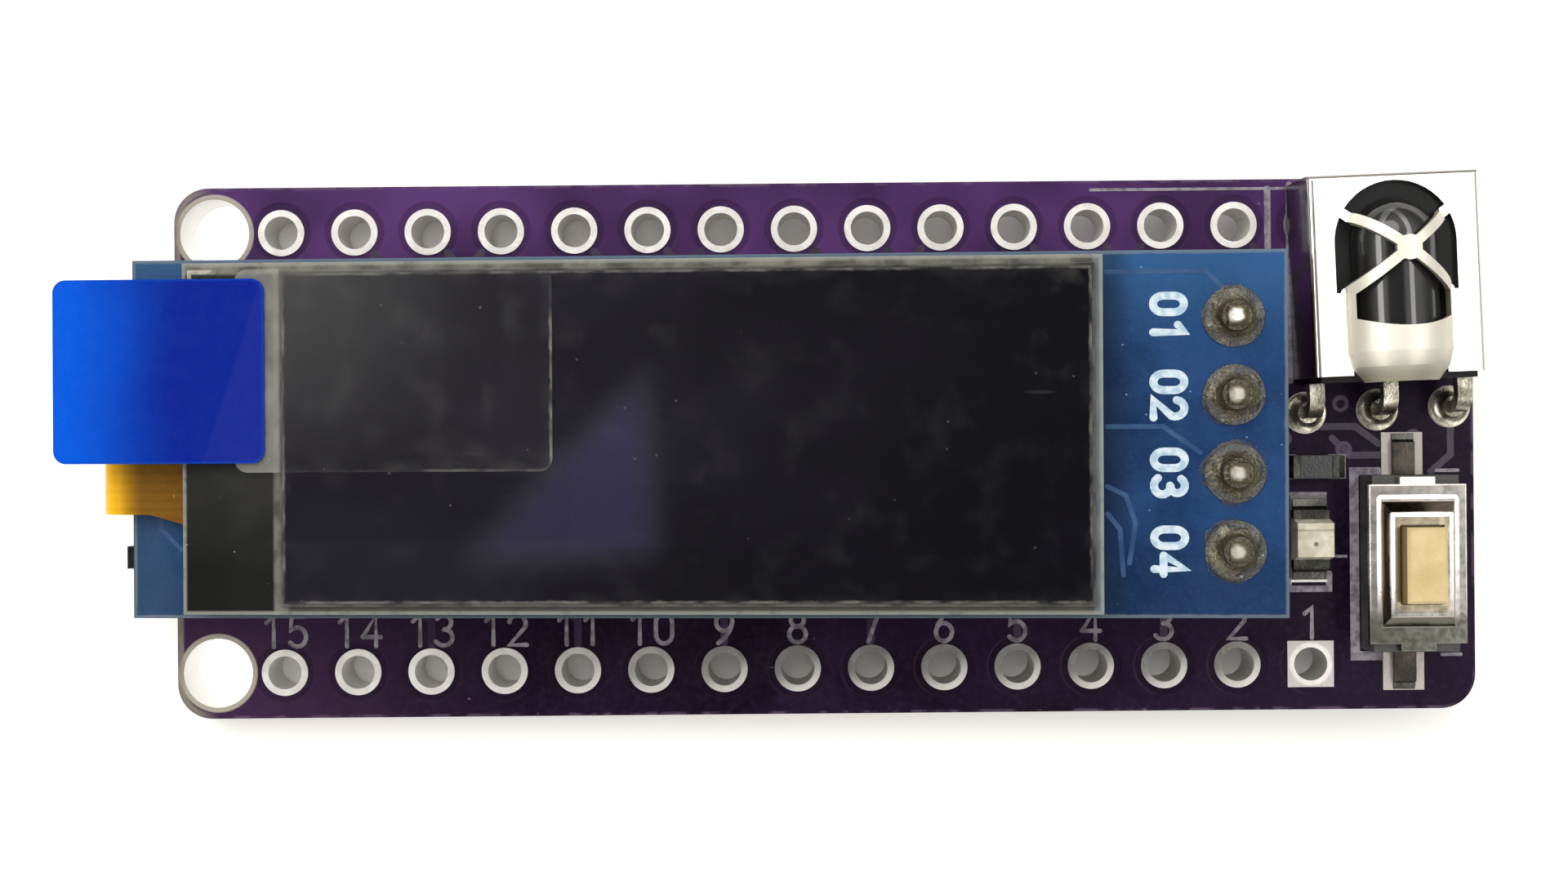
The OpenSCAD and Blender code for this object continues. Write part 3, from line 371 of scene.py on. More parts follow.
def tinned_pad():
    """Tinned pads and hole linings, with painted light and shade where the module and parts
    overhang them.
    """
    f = Finish("tinned_pad")
    grain = f.noise(0.1, 3.0)
    cloud = f.step(f.noise(0.8, 3.0), 0.35, 0.7)
    # Painted light and shade on the near row's right part: pads brighter on the near side and
    # darker towards the module, with darker linings; the rest is unshaded.
    unshaded_area = f.most(f.step(f.y, -7.0, -5.5), f.step(f.x, -14.0, -1.0, 1.0, 0.0))
    unshaded_pads = f.most(unshaded_area, f.step(f.x, 16.4, 16.8))
    along = from_nearest(f, f.x, FIRST_HOLE)
    below = f.sub(f.mul(along, 0.45), f.mul(f.add(f.y, ROW), 0.9))
    tarnish_and_shade = f.mix(f.step(below, -0.3, 0.75), (0.13, 0.127, 0.118), (0.6, 0.585, 0.55))
    tarnish_and_shade = f.mix(f.mul(cloud, 0.3), tarnish_and_shade, (0.3, 0.295, 0.28))
    pad = f.mix(unshaded_pads, tarnish_and_shade, f.mix(cloud, (0.62, 0.6, 0.57), (0.74, 0.72, 0.69)))
    corner = f.mul(f.box(16.8, 18.8, -8.6, -6.6), f.step(pin_hole_distance(f), 0.68, 0.8))
    pad = f.mix(f.mul(corner, 0.75), pad, (0.38, 0.36, 0.33))
    switch_pads = f.step(f.x, 19.3, 19.6, 0.0, 0.85)
    pad = f.mix(switch_pads, pad, (0.34, 0.30, 0.265))
    # Painted shade: the pads of the light and the resistor, and the top of the far row's last pad,
    # are nearly black.
    shaded_small_pads = f.box(16.6, 19.1, -4.7, 0.0)
    last = f.mul(f.step(f.x, 16.85, 16.95), f.step(f.y, 6.5, 6.6))
    shaded_last_pad = f.mul(last, f.step(f.z, 0.7, 0.9))
    pad = f.mix(f.mul(f.most(shaded_small_pads, shaded_last_pad), 0.9), pad, (0.03, 0.03, 0.028))
    bore = f.mix(unshaded_area, (0.4, 0.39, 0.37), (0.66, 0.65, 0.62))
    return f.set(
        base=f.mix(f.step(f.up(), 0.3, 0.5), bore, pad),
        rough=f.step(grain, 0.25, 0.75, 0.3, 0.5),
        metal=0.25,
        normal=f.bump(f.add(grain, f.mul(cloud, 0.5)), 0.01),
    )


def shield():
    """Bright tinplate: a clear mirror on the flat sheet, drawn matt where it is bent, with painted
    shade on its drawn part, folds and walls.
    """
    f = Finish("tinplate", RECEIVER)
    cloud = f.step(f.noise(2.4, 3.0), 0.35, 0.7)
    drawn = f.step(f.z, 2.62, 2.68)
    side = f.step(f.up(), 0.1, 0.5, 1.0, 0.0)
    colour = f.mix(cloud, (0.9, 0.87, 0.81), (0.96, 0.93, 0.87))
    colour = f.mix(f.mul(drawn, 0.85), colour, (0.60, 0.565, 0.475))
    # Painted shade on the drawn part's near end and steep sides.
    shaded = f.mul(drawn, f.most(f.step(f.y, -3.5, -2.6, 0.9, 0.0), f.mul(side, 0.85)))
    colour = f.mix(shaded, colour, (0.25, 0.23, 0.165))
    across = f.math("ABSOLUTE", f.x)
    # Painted dark reflection along the face's far and side folds.
    painted_fold_shading = f.most(f.step(f.y, 3.18, 3.26), f.step(across, 2.74, 2.8, 0.0, 0.6))
    colour = f.mix(f.mul(painted_fold_shading, f.step(f.z, 2.2, 2.45)), colour, (0.26, 0.245, 0.225))
    # Painted shade on the lower walls.
    painted_wall_shade = f.mul(side, f.step(f.z, 2.3, 2.7, 1.0, 0.0))
    colour = f.mix(painted_wall_shade, colour, (0.36, 0.35, 0.33))
    rolled = f.step(f.noise(0.3, 3.0, (1, 0.2, 1)), 0.3, 0.7, 0.14, 0.22)
    return f.set(
        base=f.mix(f.mul(f.specks(1.1, 0.05), 0.3), colour, (0.4, 0.39, 0.37)),
        rough=f.add(f.mul(drawn, 0.3), rolled),
        metal=f.step(drawn, 0.0, 1.0, 1.0, 0.45),
        normal=f.bump(f.noise(1.4, 2.0), 0.006),
    )


def solder():
    """Solder under brown flux, darkest round the pins and skinned over at its edge."""
    f = Finish("solder", MODULE)
    cloud = f.step(f.noise(0.55, 3.0), 0.35, 0.65)
    grain = f.noise(0.12, 3.0)
    reach = pin_distance(f)
    colour = f.mix(cloud, tone(60, 53, 36), tone(108, 98, 72))
    colour = f.mix(f.step(reach, 0.42, 0.66, 0.85, 0.0), colour, tone(56, 45, 22))
    skin = f.step(f.add(reach, f.mul(f.noise(0.4, 3.0), 0.5)), 0.85, 1.2)
    colour = f.mix(f.mul(skin, 0.65), colour, tone(50, 60, 68))
    glints = f.mul(f.specks(0.5, 0.1), f.step(reach, 0.5, 0.9, 0.1, 0.8))
    colour = f.mix(glints, colour, tone(186, 190, 184))
    return f.set(
        base=colour,
        rough=f.step(cloud, 0.0, 1.0, 0.42, 0.24),
        metal=f.step(cloud, 0.0, 1.0, 0.0, 0.25),
        normal=f.bump(f.add(f.mul(cloud, 1.4), grain), 0.05),
    )


def pin_tin():
    """Tinned pins browned by flux, with a painted highlight on each cut end, strongest on the first
    pin.
    """
    f = Finish("pin_tin", MODULE)
    cloud = f.noise(0.25, 3.0)
    reach = f.add(pin_distance(f), f.mul(f.sub(cloud, 0.5), 0.2))
    # Painted highlight on the pin ends, strongest on the first pin.
    tip_highlight = f.mul(f.step(reach, 0.14, 0.3, 1.0, 0.0), f.step(f.y, 1.8, 3.2, 0.45, 1.0))
    return f.set(
        base=f.mix(tip_highlight, tone(84, 74, 48), (0.96, 0.92, 0.8)),
        rough=f.step(cloud, 0.3, 0.7, 0.24, 0.4),
        metal=f.step(tip_highlight, 0.0, 1.0, 0.2, 0.4),
        normal=f.bump(cloud, 0.01, 0.06),
    )


def front_glass():
    """Dark glass: a black ledge at the left end, and milky margins round the polariser with painted
    light.
    """
    f = Finish("dark_glass", MODULE)
    smear = f.noise(1.8, 3.0)
    ledge = f.mix(f.step(smear, 0.3, 0.75), tone(42, 42, 41), tone(53, 53, 52))
    # Painted shade: the ledge darkens towards its near side.
    ledge = f.mix(f.step(f.y, -4.6, -2.4, 0.7, 0.0), ledge, tone(22, 23, 21))
    ledge = f.mix(f.mul(f.specks(0.55, 0.07), 0.7), ledge, tone(170, 168, 158))
    # Margins of milky glass with painted light: pale on the far side, grey on the right, darker on
    # the near side.
    top = f.mix(f.step(f.noise(0.8, 4.0), 0.35, 0.7), tone(92, 91, 86), tone(146, 143, 132))
    right = f.mix(f.noise(0.7, 3.0), tone(84, 92, 100), tone(136, 144, 150))
    bottom = f.mix(f.noise(0.9, 3.0), tone(70, 70, 68), tone(108, 106, 100))
    colour = f.mix(f.step(f.x, -29.76, -29.64), ledge, bottom)
    colour = f.mix(f.step(f.y, 5.3, 5.44), colour, top)
    colour = f.mix(f.step(f.x, -3.46, -3.36), colour, right)
    seam = f.mul(f.band(f.x, -29.98, -29.5, 0.06), f.step(f.noise(0.7, 4.0), 0.3, 0.62, 0.35, 1.0))
    colour = f.mix(f.mul(seam, 0.8), colour, tone(136, 136, 126))
    # Painted highlight: a thin light line along the glass's edge.
    rim = f.round_box(-18.05, 0.0, 14.95, 5.75, 0.1)
    line = f.mul(f.step(rim, -0.16, -0.07), f.step(f.noise(0.5), 0.25, 0.5, 0.4, 1.0))
    colour = f.mix(f.mul(line, 0.7), colour, tone(164, 165, 156))
    return f.set(
        base=colour,
        rough=f.step(smear, 0.3, 0.8, 0.1, 0.15),
        gloss=0.35,
        normal=f.edge(0.05),
    )


def polariser():
    """Nearly black sheet with a painted reflection that turns it greyer towards its far left
    corner.
    """
    f = Finish("polariser", MODULE)
    smear = f.noise(6.0, 4.0, (1, 1.6, 1))
    fine = f.noise(0.5, 4.0, (0.6, 2.4, 1))
    # Painted reflection: greyer to the left, palest at the far left corner.
    right = f.mix(f.step(smear, 0.35, 0.7), tone(13, 12, 18), tone(20, 18, 27))
    left = f.mix(f.step(smear, 0.35, 0.7), tone(30, 28, 36), tone(37, 35, 45))
    colour = f.mix(f.step(f.x, -30.0, -4.0), left, right)
    corner = f.step(f.radius(-29.7, 5.5), 0.5, 7.5, 1.0, 0.0)
    colour = f.mix(f.mul(corner, 0.75), colour, tone(74, 74, 74))
    rim = f.round_box(-16.54, 0.0, 13.16, 5.47, 0.15)
    cut = f.mul(f.step(rim, -0.13, -0.05), f.step(f.noise(0.8, 4.0), 0.3, 0.62, 0.35, 1.0))
    colour = f.mix(f.mul(cut, 0.6), colour, tone(122, 122, 114))
    return f.set(
        base=colour,
        rough=f.step(fine, 0.3, 0.75, 0.04, 0.07),
        gloss=0.35,
        normal=f.edge(0.05),
    )


def clear_film(name, x, y, half_x, half_y, corner, haze, is_tape=False):
    """Clear plastic sheet that shows by its milky cut edge, its dust and a faint haze.

    The tape shows its right and near edge only, and is milky where it hangs over the ledge.
    """
    f = Finish(name, MODULE)
    rim = f.round_box(x, y, half_x, half_y, corner)
    ragged = f.add(rim, f.mul(f.sub(f.noise(0.35, 3.0), 0.5), 0.12))
    cut = f.mul(f.step(ragged, -0.12, -0.05), f.step(f.noise(0.9, 4.0), 0.35, 0.65, 0.12, 1.0))
    lift = f.mul(f.step(rim, -0.5, -0.1), f.step(f.noise(1.6, 4.0), 0.45, 0.8, 0.0, 0.15))
    if is_tape:
        right_end, near_end = x + half_x, y - half_y
        right = f.step(f.x, right_end - 0.5, right_end - 0.25)
        right = f.mul(right, f.step(f.y, y + 1.2, y + 2.6, 1.0, 0.1))
        near = f.step(f.y, near_end + 0.25, near_end + 0.5, 1.0, 0.0)
        near = f.mul(near, f.step(f.x, x, x + half_x * 0.5, 0.0, 0.7))
        cut = f.mul(cut, f.most(right, near, 0.08))
        loose = f.step(f.x, -29.74, -29.62, 1.0, 0.0)
        loose = f.mul(loose, f.step(f.noise(0.9, 4.0), 0.3, 0.7, 0.2, 0.36))
        lift = f.most(lift, f.mul(loose, 4.5))
    dust = f.specks(1.1, 0.05)
    scratch = f.specks(2.2, 0.06, (0.22, 1.6, 1))
    thumb = f.step(f.radius(-3.9, 4.6), 0.5, 3.6, 1.0, 0.2)
    smudge = f.mul(f.step(f.noise(1.5, 4.0), 0.5, 0.75), thumb)
    marks = ((cut, 0.28), (lift, 0.22), (dust, 0.12), (scratch, 0.03), (smudge, 0.07))
    cover = f.most(*(f.mul(mark, share) for mark, share in marks))
    return f.set(
        base=f.mix(f.noise(0.6), tone(150, 150, 142), tone(206, 205, 196)),
        alpha=f.add(f.mul(cover, 1.0 - haze), haze),
        rough=f.step(f.noise(1.2, 3.0), 0.3, 0.7, 0.18, 0.34),
    )


def blue_film():
    """Blue pull tab with painted light: lighter where it hangs free, with a paler wedge at its near
    right corner.
    """
    f = Finish("blue_film", MODULE)
    # Painted light: bright blue where the tab hangs free over the floor, darker over the module.
    drift = f.add(f.x, f.mul(f.sub(f.noise(3.0, 2.0), 0.5), 1.2))
    colour = f.mix(f.step(drift, -37.2, -32.8), tone(1, 94, 232), tone(10, 38, 152))
    # Painted light on the paler wedge at the near right corner.
    painted_light_wedge = f.step(f.add(f.x, f.mul(f.y, -0.329)), -32.0, -31.85)
    colour = f.mix(f.mul(painted_light_wedge, 0.8), colour, tone(30, 46, 152))
    rim = f.round_box(-33.65, 2.2, 3.5, 3.0, 0.42)
    colour = f.mix(f.mul(f.step(rim, -0.1, -0.03), 0.4), colour, tone(10, 82, 206))
    return f.set(
        base=colour,
        clear=0.08,
        gloss=0.03,
        rough=f.step(f.noise(0.5, 3.0), 0.3, 0.7, 0.2, 0.32),
        normal=f.bump(f.noise(3.0, 2.0), 0.03),
    )


def amber_flex():
    """Amber film over copper tracks, brown where it lies in shade."""
    f = Finish("amber_flex", MODULE)
    tracks = f.step(f.math("SINE", f.mul(f.y, 21.0)), 0.0, 0.6)
    shade = f.step(f.x, -36.2, -34.6)
    film = f.mix(shade, (0.98, 0.52, 0.008), tone(130, 90, 26))
    copper = f.mix(shade, (0.86, 0.40, 0.006), tone(100, 68, 20))
    colour = f.mix(f.mul(tracks, 0.25), film, copper)
    colour = f.mix(f.mul(f.specks(0.5, 0.08), 0.4), colour, tone(250, 214, 120))
    return f.set(
        base=colour,
        rough=f.step(f.noise(0.4), 0.3, 0.7, 0.22, 0.4),
        gloss=0.08,
        normal=f.bump(f.add(f.mul(tracks, 0.15), f.noise(0.8)), 0.02),
    )


def moulded(name, dark, light, rough, depth, place=None, size=0.25, wall_shade=None):
    """Moulded plastic or ceramic: mottled, fine texture, soft edges; the optional wall colour is
    painted shade on the walls.
    """
    f = Finish(name, place)
    grain = f.noise(size * 0.4, 3.0)
    cloud = f.step(f.noise(size * 5.0, 3.0), 0.32, 0.7)
    colour = f.mix(f.add(f.mul(cloud, 0.65), f.mul(grain, 0.35)), dark, light)
    colour = f.mix(f.mul(f.specks(size * 3.0, 0.06), 0.3), colour, tuple(c * 0.6 for c in dark))
    # Painted shade: walls darker than the tops.
    if wall_shade is not None:
        colour = f.mix(f.step(f.up(), 0.3, 0.7, 0.85, 0.0), colour, wall_shade)
    return f.set(
        base=colour,
        rough=f.step(grain, 0.25, 0.75, rough * 0.8, rough * 1.2),
        normal=f.bump(grain, depth, 0.05),
    )


def epoxy():
    """The receiver's black resin: matt on the body, polished on the lens."""
    f = Finish("black_epoxy", RECEIVER)
    grain = f.noise(0.12, 3.0)
    lens = f.step(f.z, 2.42, 2.5)
    return f.set(
        base=f.mix(grain, (0.003, 0.003, 0.003), (0.009, 0.009, 0.009)),
        rough=f.step(grain, 0.3, 0.7, 0.34, 0.42),
        gloss=0.12,
        coat=lens,
        coat_rough=0.06,
        normal=f.bump(grain, 0.001),
    )


def cover():
    """The button's pressed steel: grey flats, with painted shade on the leaning sides and the near
    side, and painted highlights along the folds towards the far left.
    """
    f = Finish("steel_cover")
    cloud = f.step(f.noise(1.6, 3.0), 0.35, 0.7)
    grain = f.noise(0.25, 3.0)
    flat = f.mix(cloud, (0.28, 0.265, 0.245), (0.36, 0.34, 0.315))
    lip_edge = f.round_box(*SWITCH, 1.05, 1.75, 0.06)
    flat = f.mix(f.step(lip_edge, -0.2, -0.12, 0.8, 0.0), flat, (0.44, 0.375, 0.25))
    # Painted shade: the leaning sides are near black.
    colour = f.mix(f.step(f.up(), 0.85, 0.95), (0.13, 0.10, 0.075), flat)
    foot = f.band(f.round_box(*SWITCH, 1.3, 2.25, 0.06), -0.05, 0.09, 0.03)
    lip = f.band(lip_edge, -0.13, 0.03, 0.03)
    rim = f.step(f.round_box(*SWITCH, 1.65, 2.7, 0.06), -0.07, -0.03)
    # Painted shade on the near side.
    near = f.step(f.y, -6.1, -5.6, 1.0, 0.0)
    colour = f.mix(f.mul(near, 0.8), colour, (0.12, 0.125, 0.1))
    # Painted highlights along the foot, the lip and the rim: strongest at the far left, faint on
    # the near side.
    wear_and_sheen = f.step(f.noise(1.6, 2.0), 0.3, 0.6, 0.6, 1.0)
    wear_and_sheen = f.mul(wear_and_sheen, f.step(f.y, -5.9, -4.2, 0.12, 1.0))
    wear_and_sheen = f.mul(wear_and_sheen, f.step(f.x, 21.3, 22.0, 1.0, 0.45))
    wear_and_sheen = f.mul(wear_and_sheen, f.step(near, 0.0, 1.0, 1.0, 0.04))
    painted_fold_shading = f.mul(f.most(foot, lip, f.mul(rim, 0.5)), wear_and_sheen)
    colour = f.mix(painted_fold_shading, colour, (0.95, 0.92, 0.87))
    return f.set(
        base=colour,
        rough=f.add(f.step(grain, 0.25, 0.75, 0.12, 0.2), f.mul(painted_fold_shading, 0.25)),
        metal=f.step(painted_fold_shading, 0.0, 1.0, 1.0, 0.45),
        normal=f.bump(f.add(grain, f.mul(cloud, 0.5)), 0.002, 0.05),
    )


def light_lens():
    """The light's cream resin, with a dark bond spot and a dividing line."""
    f = Finish("cream_resin")
    divide = f.mul(f.band(f.y, -2.98, -2.92, 0.03), 0.5)
    bond = f.most(f.band(f.radius(17.75, -3.42), 0.0, 0.08, 0.03), divide)
    cloud = f.noise(0.5, 3.0)
    colour = f.mix(f.step(cloud, 0.3, 0.7), tone(218, 209, 184), tone(246, 239, 218))
    colour = f.mix(f.mul(bond, 0.9), colour, tone(66, 60, 44))
    return f.set(
        base=colour,
        rough=f.step(cloud, 0.3, 0.7, 0.2, 0.32),
        coat=0.4,
        normal=f.bump(cloud, 0.01, 0.05),
    )


def ink(name, low, high, place=None):
    """Printed legend: a slightly uneven, matt ink."""
    f = Finish(name, place)
    wear_and_sheen = f.step(f.noise(0.3, 4.0), 0.35, 0.62)
    return f.set(
        base=f.mix(wear_and_sheen, low, high),
        rough=f.step(f.noise(0.1), 0.3, 0.7, 0.5, 0.7),
        gloss=0.25,
        normal=f.bump(f.noise(0.08), 0.006),
    )


def track_mask(name, low, high, place=None):
    """Lacquer over a copper track, lighter than the lacquer beside it."""
    f = Finish(name, place)
    cloud = f.noise(0.9, 3.0)
    return f.set(
        base=f.mix(f.step(cloud, 0.3, 0.7), low, high),
        rough=f.step(cloud, 0.3, 0.7, 0.3, 0.42),
        gloss=0.35,
        normal=f.bump(f.noise(0.2), 0.008),
    )


def flux_residue():
    """Brown see-through flux that thins out away from the pins."""
    f = Finish("flux_residue", MODULE)
    cloud = f.noise(0.35, 4.0)
    thin = f.step(pin_distance(f), 0.85, 1.15, 0.9, 0.15)
    return f.set(
        base=f.mix(f.step(cloud, 0.3, 0.7), tone(40, 36, 26), tone(94, 86, 64)),
        alpha=f.mul(f.step(cloud, 0.3, 0.75, 0.2, 0.9), thin),
        rough=f.step(f.noise(0.2), 0.3, 0.7, 0.12, 0.3),
        normal=f.bump(cloud, 0.05),
    )


TIN = tinned_pad()
LEAD = metal("tinned_lead", (0.66, 0.64, 0.58), (0.42, 0.40, 0.36), 0.28, 0.008)
PIN = pin_tin()
# Receiver leads: a darker copy of the tinned lead, with painted shade.
SHADED_LEAD = metal("shaded_lead", (0.44, 0.42, 0.34), (0.13, 0.12, 0.09), 0.3, 0.01, size=0.25)
# End caps and small joints: dark solder, darkened further with painted shade.
SHADED_CAP = metal("dark_shaded_cap", (0.07, 0.07, 0.062), (0.025, 0.025, 0.022), 0.3, 0.008, 0.05)
SHIELD = shield()
COVER = cover()
# Switch terminals near black: painted dark reflection.
TERMINAL = metal("terminal", (0.06, 0.052, 0.042), (0.026, 0.023, 0.019), 0.32, 0.006, 0.05)
SOLDER = solder()
GLASS = front_glass()
EPOXY = epoxy()
BLACK = moulded("black_plastic", (0.010, 0.010, 0.010), (0.026, 0.025, 0.024), 0.42, 0.012)
# The plunger's walls carry painted shade.
CREAM = moulded("cream_plastic", tone(204, 178, 120), tone(236, 214, 160), 0.45, 0.012,
                wall_shade=tone(104, 86, 48))
WHITE = moulded("white_plastic", tone(176, 172, 158), tone(214, 210, 198), 0.45, 0.012)
TAPE = moulded("white_tape", tone(150, 150, 146), tone(204, 203, 198), 0.6, 0.03, MODULE, 0.4)
TAN = moulded("tan_ceramic", tone(140, 108, 76), tone(178, 144, 104), 0.4, 0.01, MODULE)
CERAMIC = moulded("black_ceramic", (0.008, 0.008, 0.009), (0.02, 0.02, 0.021), 0.35, 0.01)
SILICON = moulded("silicon", (0.02, 0.022, 0.028), (0.05, 0.054, 0.062), 0.16, 0.004, MODULE)

FINISHES = {
    "carrier_board": carrier_mask(),
    "header_hole_pads": TIN,
    "soldered_hole_pads": TIN,
    "component_pads": TIN,
    "module_board": module_mask(),
    "mounting_tape": TAPE,
    "panel_cap_glass": GLASS,
    "panel_front_glass": GLASS,
    "polariser": polariser(),
    "protective_film": clear_film("clear_film", -16.54, 0.0, 13.06, 5.37, 0.15, 0.004),
    "pull_tab_tape": clear_film("clear_tape", -25.95, 2.2, 5.2, 3.3, 0.42, 0.006, is_tape=True),
    "pull_tab": blue_film(),
    "driver_chip": SILICON,
    "flex_tail": amber_flex(),
    "flex_contacts": LEAD,
    "module_regulator": CERAMIC,
    "module_regulator_leads": LEAD,
    "module_capacitors": TAN,
    "module_resistors": CERAMIC,
    "module_chip_ends": LEAD,
    "header_strip": BLACK,
    "header_pins": PIN,
    "header_solder_top": SOLDER,
    "header_solder_bottom": SOLDER,
    "ir_shield": SHIELD,
    "ir_body": EPOXY,
    "ir_leads": SHADED_LEAD,
    "ir_solder": SHADED_LEAD,
    "switch_base": BLACK,
    "switch_cover": COVER,
    "switch_plunger": CREAM,
    "switch_dome": LEAD,
    "switch_terminals": TERMINAL,
    "led_base": WHITE,
    "led_lens": light_lens(),
    "led_ends": SHADED_CAP,
    "resistor_body": CERAMIC,
    "resistor_ends": SHADED_CAP,
    "surface_solder": SHADED_CAP,
}

for node_name, finish in FINISHES.items():
    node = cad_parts[node_name]
    if node.material_slots:
        for material_slot in node.material_slots:
            material_slot.material = finish
    else:
        node.data.materials.append(finish)


# Fine pieces

# Crossing strokes differ in height by OVERLAP, so no two faces lie in one plane.
OVERLAP = 0.003
# How far print and lacquer stand above a face, and how far they reach into it
INK = 0.014
LACQUER = 0.012
SUNK = 0.004

DIGIT_WIDTH = 0.6
DIGIT_STEP = 0.86


def add_object(name, data):
    made = bpy.data.objects.new(name, data)
    bpy.context.scene.collection.objects.link(made)
    return made


def add_mesh(name, mesh, finish):
    """Object made of working geometry, which is freed."""
    data = bpy.data.meshes.new(name)
    mesh.to_mesh(data)
    mesh.free()
    data.materials.append(finish)
    return add_object(name, data)


def piece(name, mesh, finish, smooth=False):
    """Turns millimetre geometry into a piece that rides on the board."""
    bmesh.ops.recalc_face_normals(mesh, faces=mesh.faces)
    bmesh.ops.scale(mesh, vec=(MM, MM, MM), verts=mesh.verts)
    made = add_mesh(name, mesh, finish)
    for polygon in made.data.polygons:
        polygon.use_smooth = smooth
    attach(made, "board")
    return made


def wall(mesh, lower, upper, closed=True):
    """Faces between two rows of vertices, or round two rings of them."""
    count = len(lower)
    for i in range(count if closed else count - 1):
        j = (i + 1) % count
        mesh.faces.new((lower[i], lower[j], upper[j], upper[i]))


def stack(mesh, rings):
    """Closed body through rings of vertices."""
    for a, b in zip(rings, rings[1:]):
        wall(mesh, a, b)
    mesh.faces.new(rings[-1])
    mesh.faces.new(rings[0])


def ribbon(mesh, line, width, low, high, place=Matrix(), closed=False):
    """Flat raised stroke along a line, with round ends."""
    points = [Vector(p) for p in line]
    count = len(points)
    left, right = [], []
    for i, point in enumerate(points):
        ways = []
        if closed or i > 0:
            ways.append((point - points[i - 1]).normalized())
        if closed or i < count - 1:
            ways.append((points[(i + 1) % count] - point).normalized())
        along = sum(ways, Vector((0, 0))).normalized()
        side = Vector((-along.y, along.x))
        reach = width / 2 / max(0.6, side.dot(Vector((-ways[0].y, ways[0].x))))
        left.append(point + side * reach)
        right.append(point - side * reach)

    def level(flat_points, height):
        return [mesh.verts.new(place @ Vector((p.x, p.y, height))) for p in flat_points]

    rows = {(s, h): level(p, h) for s, p in (("l", left), ("r", right)) for h in (low, high)}
    for i in range(count if closed else count - 1):
        j = (i + 1) % count
        for height in (low, high):
            a, b = rows["l", height], rows["r", height]
            mesh.faces.new((a[i], a[j], b[j], b[i]))
        for side_name in "lr":
            a, b = rows[side_name, low], rows[side_name, high]
            mesh.faces.new((a[i], a[j], b[j], b[i]))
    if closed:
        return
    for end, sign in ((0, -1), (count - 1, 1)):
        centre = points[end]
        spoke = left[end] - centre
        cap = [centre + Matrix.Rotation(-sign * math.pi * k / 6, 2) @ spoke for k in range(1, 6)]
        lower = [rows["l", low][end], *level(cap, low), rows["r", low][end]]
        upper = [rows["l", high][end], *level(cap, high), rows["r", high][end]]
        mesh.faces.new(lower)
        mesh.faces.new(upper)
        wall(mesh, lower, upper, False)


def arc(x, y, half_x, half_y, start, stop, steps=10):
    """Points along an ellipse from one angle to another, in degrees."""
    angles = [math.radians(start + (stop - start) * i / steps) for i in range(steps + 1)]
    return [(x + half_x * math.cos(a), y + half_y * math.sin(a)) for a in angles]


# Each digit is a list of strokes in a box DIGIT_WIDTH wide and 1 high; True marks a closed stroke.
DIGITS = {
    "0": [(arc(0.3, 0.68, 0.27, 0.32, 180, 0) + arc(0.3, 0.32, 0.27, 0.32, 0, -180), True)],
    "1": [([(0.12, 0.80), (0.36, 1.0), (0.36, 0.0)], False)],
    "2": [(arc(0.3, 0.70, 0.27, 0.30, 170, -25) + [(0.03, 0.0), (0.6, 0.0)], False)],
    "3": [
        (arc(0.28, 0.76, 0.25, 0.24, 150, -90), False),
        (arc(0.28, 0.27, 0.29, 0.27, 85, -150), False),
    ],
    "4": [
        ([(0.46, 0.0), (0.46, 1.0), (0.02, 0.30)], False),
        ([(0.02, 0.30), (0.62, 0.30)], False),
    ],
    "5": [
        ([(0.54, 1.0), (0.10, 1.0), (0.06, 0.54)] + arc(0.28, 0.32, 0.29, 0.32, 115, -145), False),
    ],
    "6": [
        (arc(0.3, 0.30, 0.27, 0.30, 0, 330, 14), True),
        ([(0.50, 1.0), (0.26, 0.80), (0.10, 0.56), (0.03, 0.30)], False),
    ],
    "7": [([(0.02, 1.0), (0.58, 1.0), (0.22, 0.0)], False)],
    "8": [
        (arc(0.3, 0.76, 0.22, 0.24, 0, 330, 12), True),
        (arc(0.3, 0.27, 0.28, 0.27, 0, 330, 12), True),
    ],
    "9": [
        (arc(0.3, 0.70, 0.27, 0.30, 0, 330, 14), True),
        ([(0.57, 0.70), (0.50, 0.44), (0.34, 0.20), (0.10, 0.0)], False),
    ],
}


def number(mesh, digits, x, y, height, stroke, low, high, place=Matrix(), turn=0.0):
    """Centres a number on a point; turn is its angle in degrees."""
    width = (DIGIT_STEP * (len(digits) - 1) + DIGIT_WIDTH) * height
    spot = Matrix.Translation((x, y, 0)) @ Matrix.Rotation(math.radians(turn), 4, "Z")
    for i, digit in enumerate(digits):
        shift = Matrix.Translation((DIGIT_STEP * height * i - width / 2, -height / 2, 0))
        for k, (line, closed) in enumerate(DIGITS[digit]):
            scaled = [(a * height, b * height) for a, b in line]
            ribbon(mesh, scaled, stroke, low, high + OVERLAP * k, place @ spot @ shift, closed)


def hole_x(i):
    """Place of a hole of the pin rows, counted from the left."""
    return PITCH * i - FIRST_HOLE


def pin_y(i):
    """Place of a header pin in the module's frame, counted from the far side."""
    return FIRST_PIN - PITCH * i


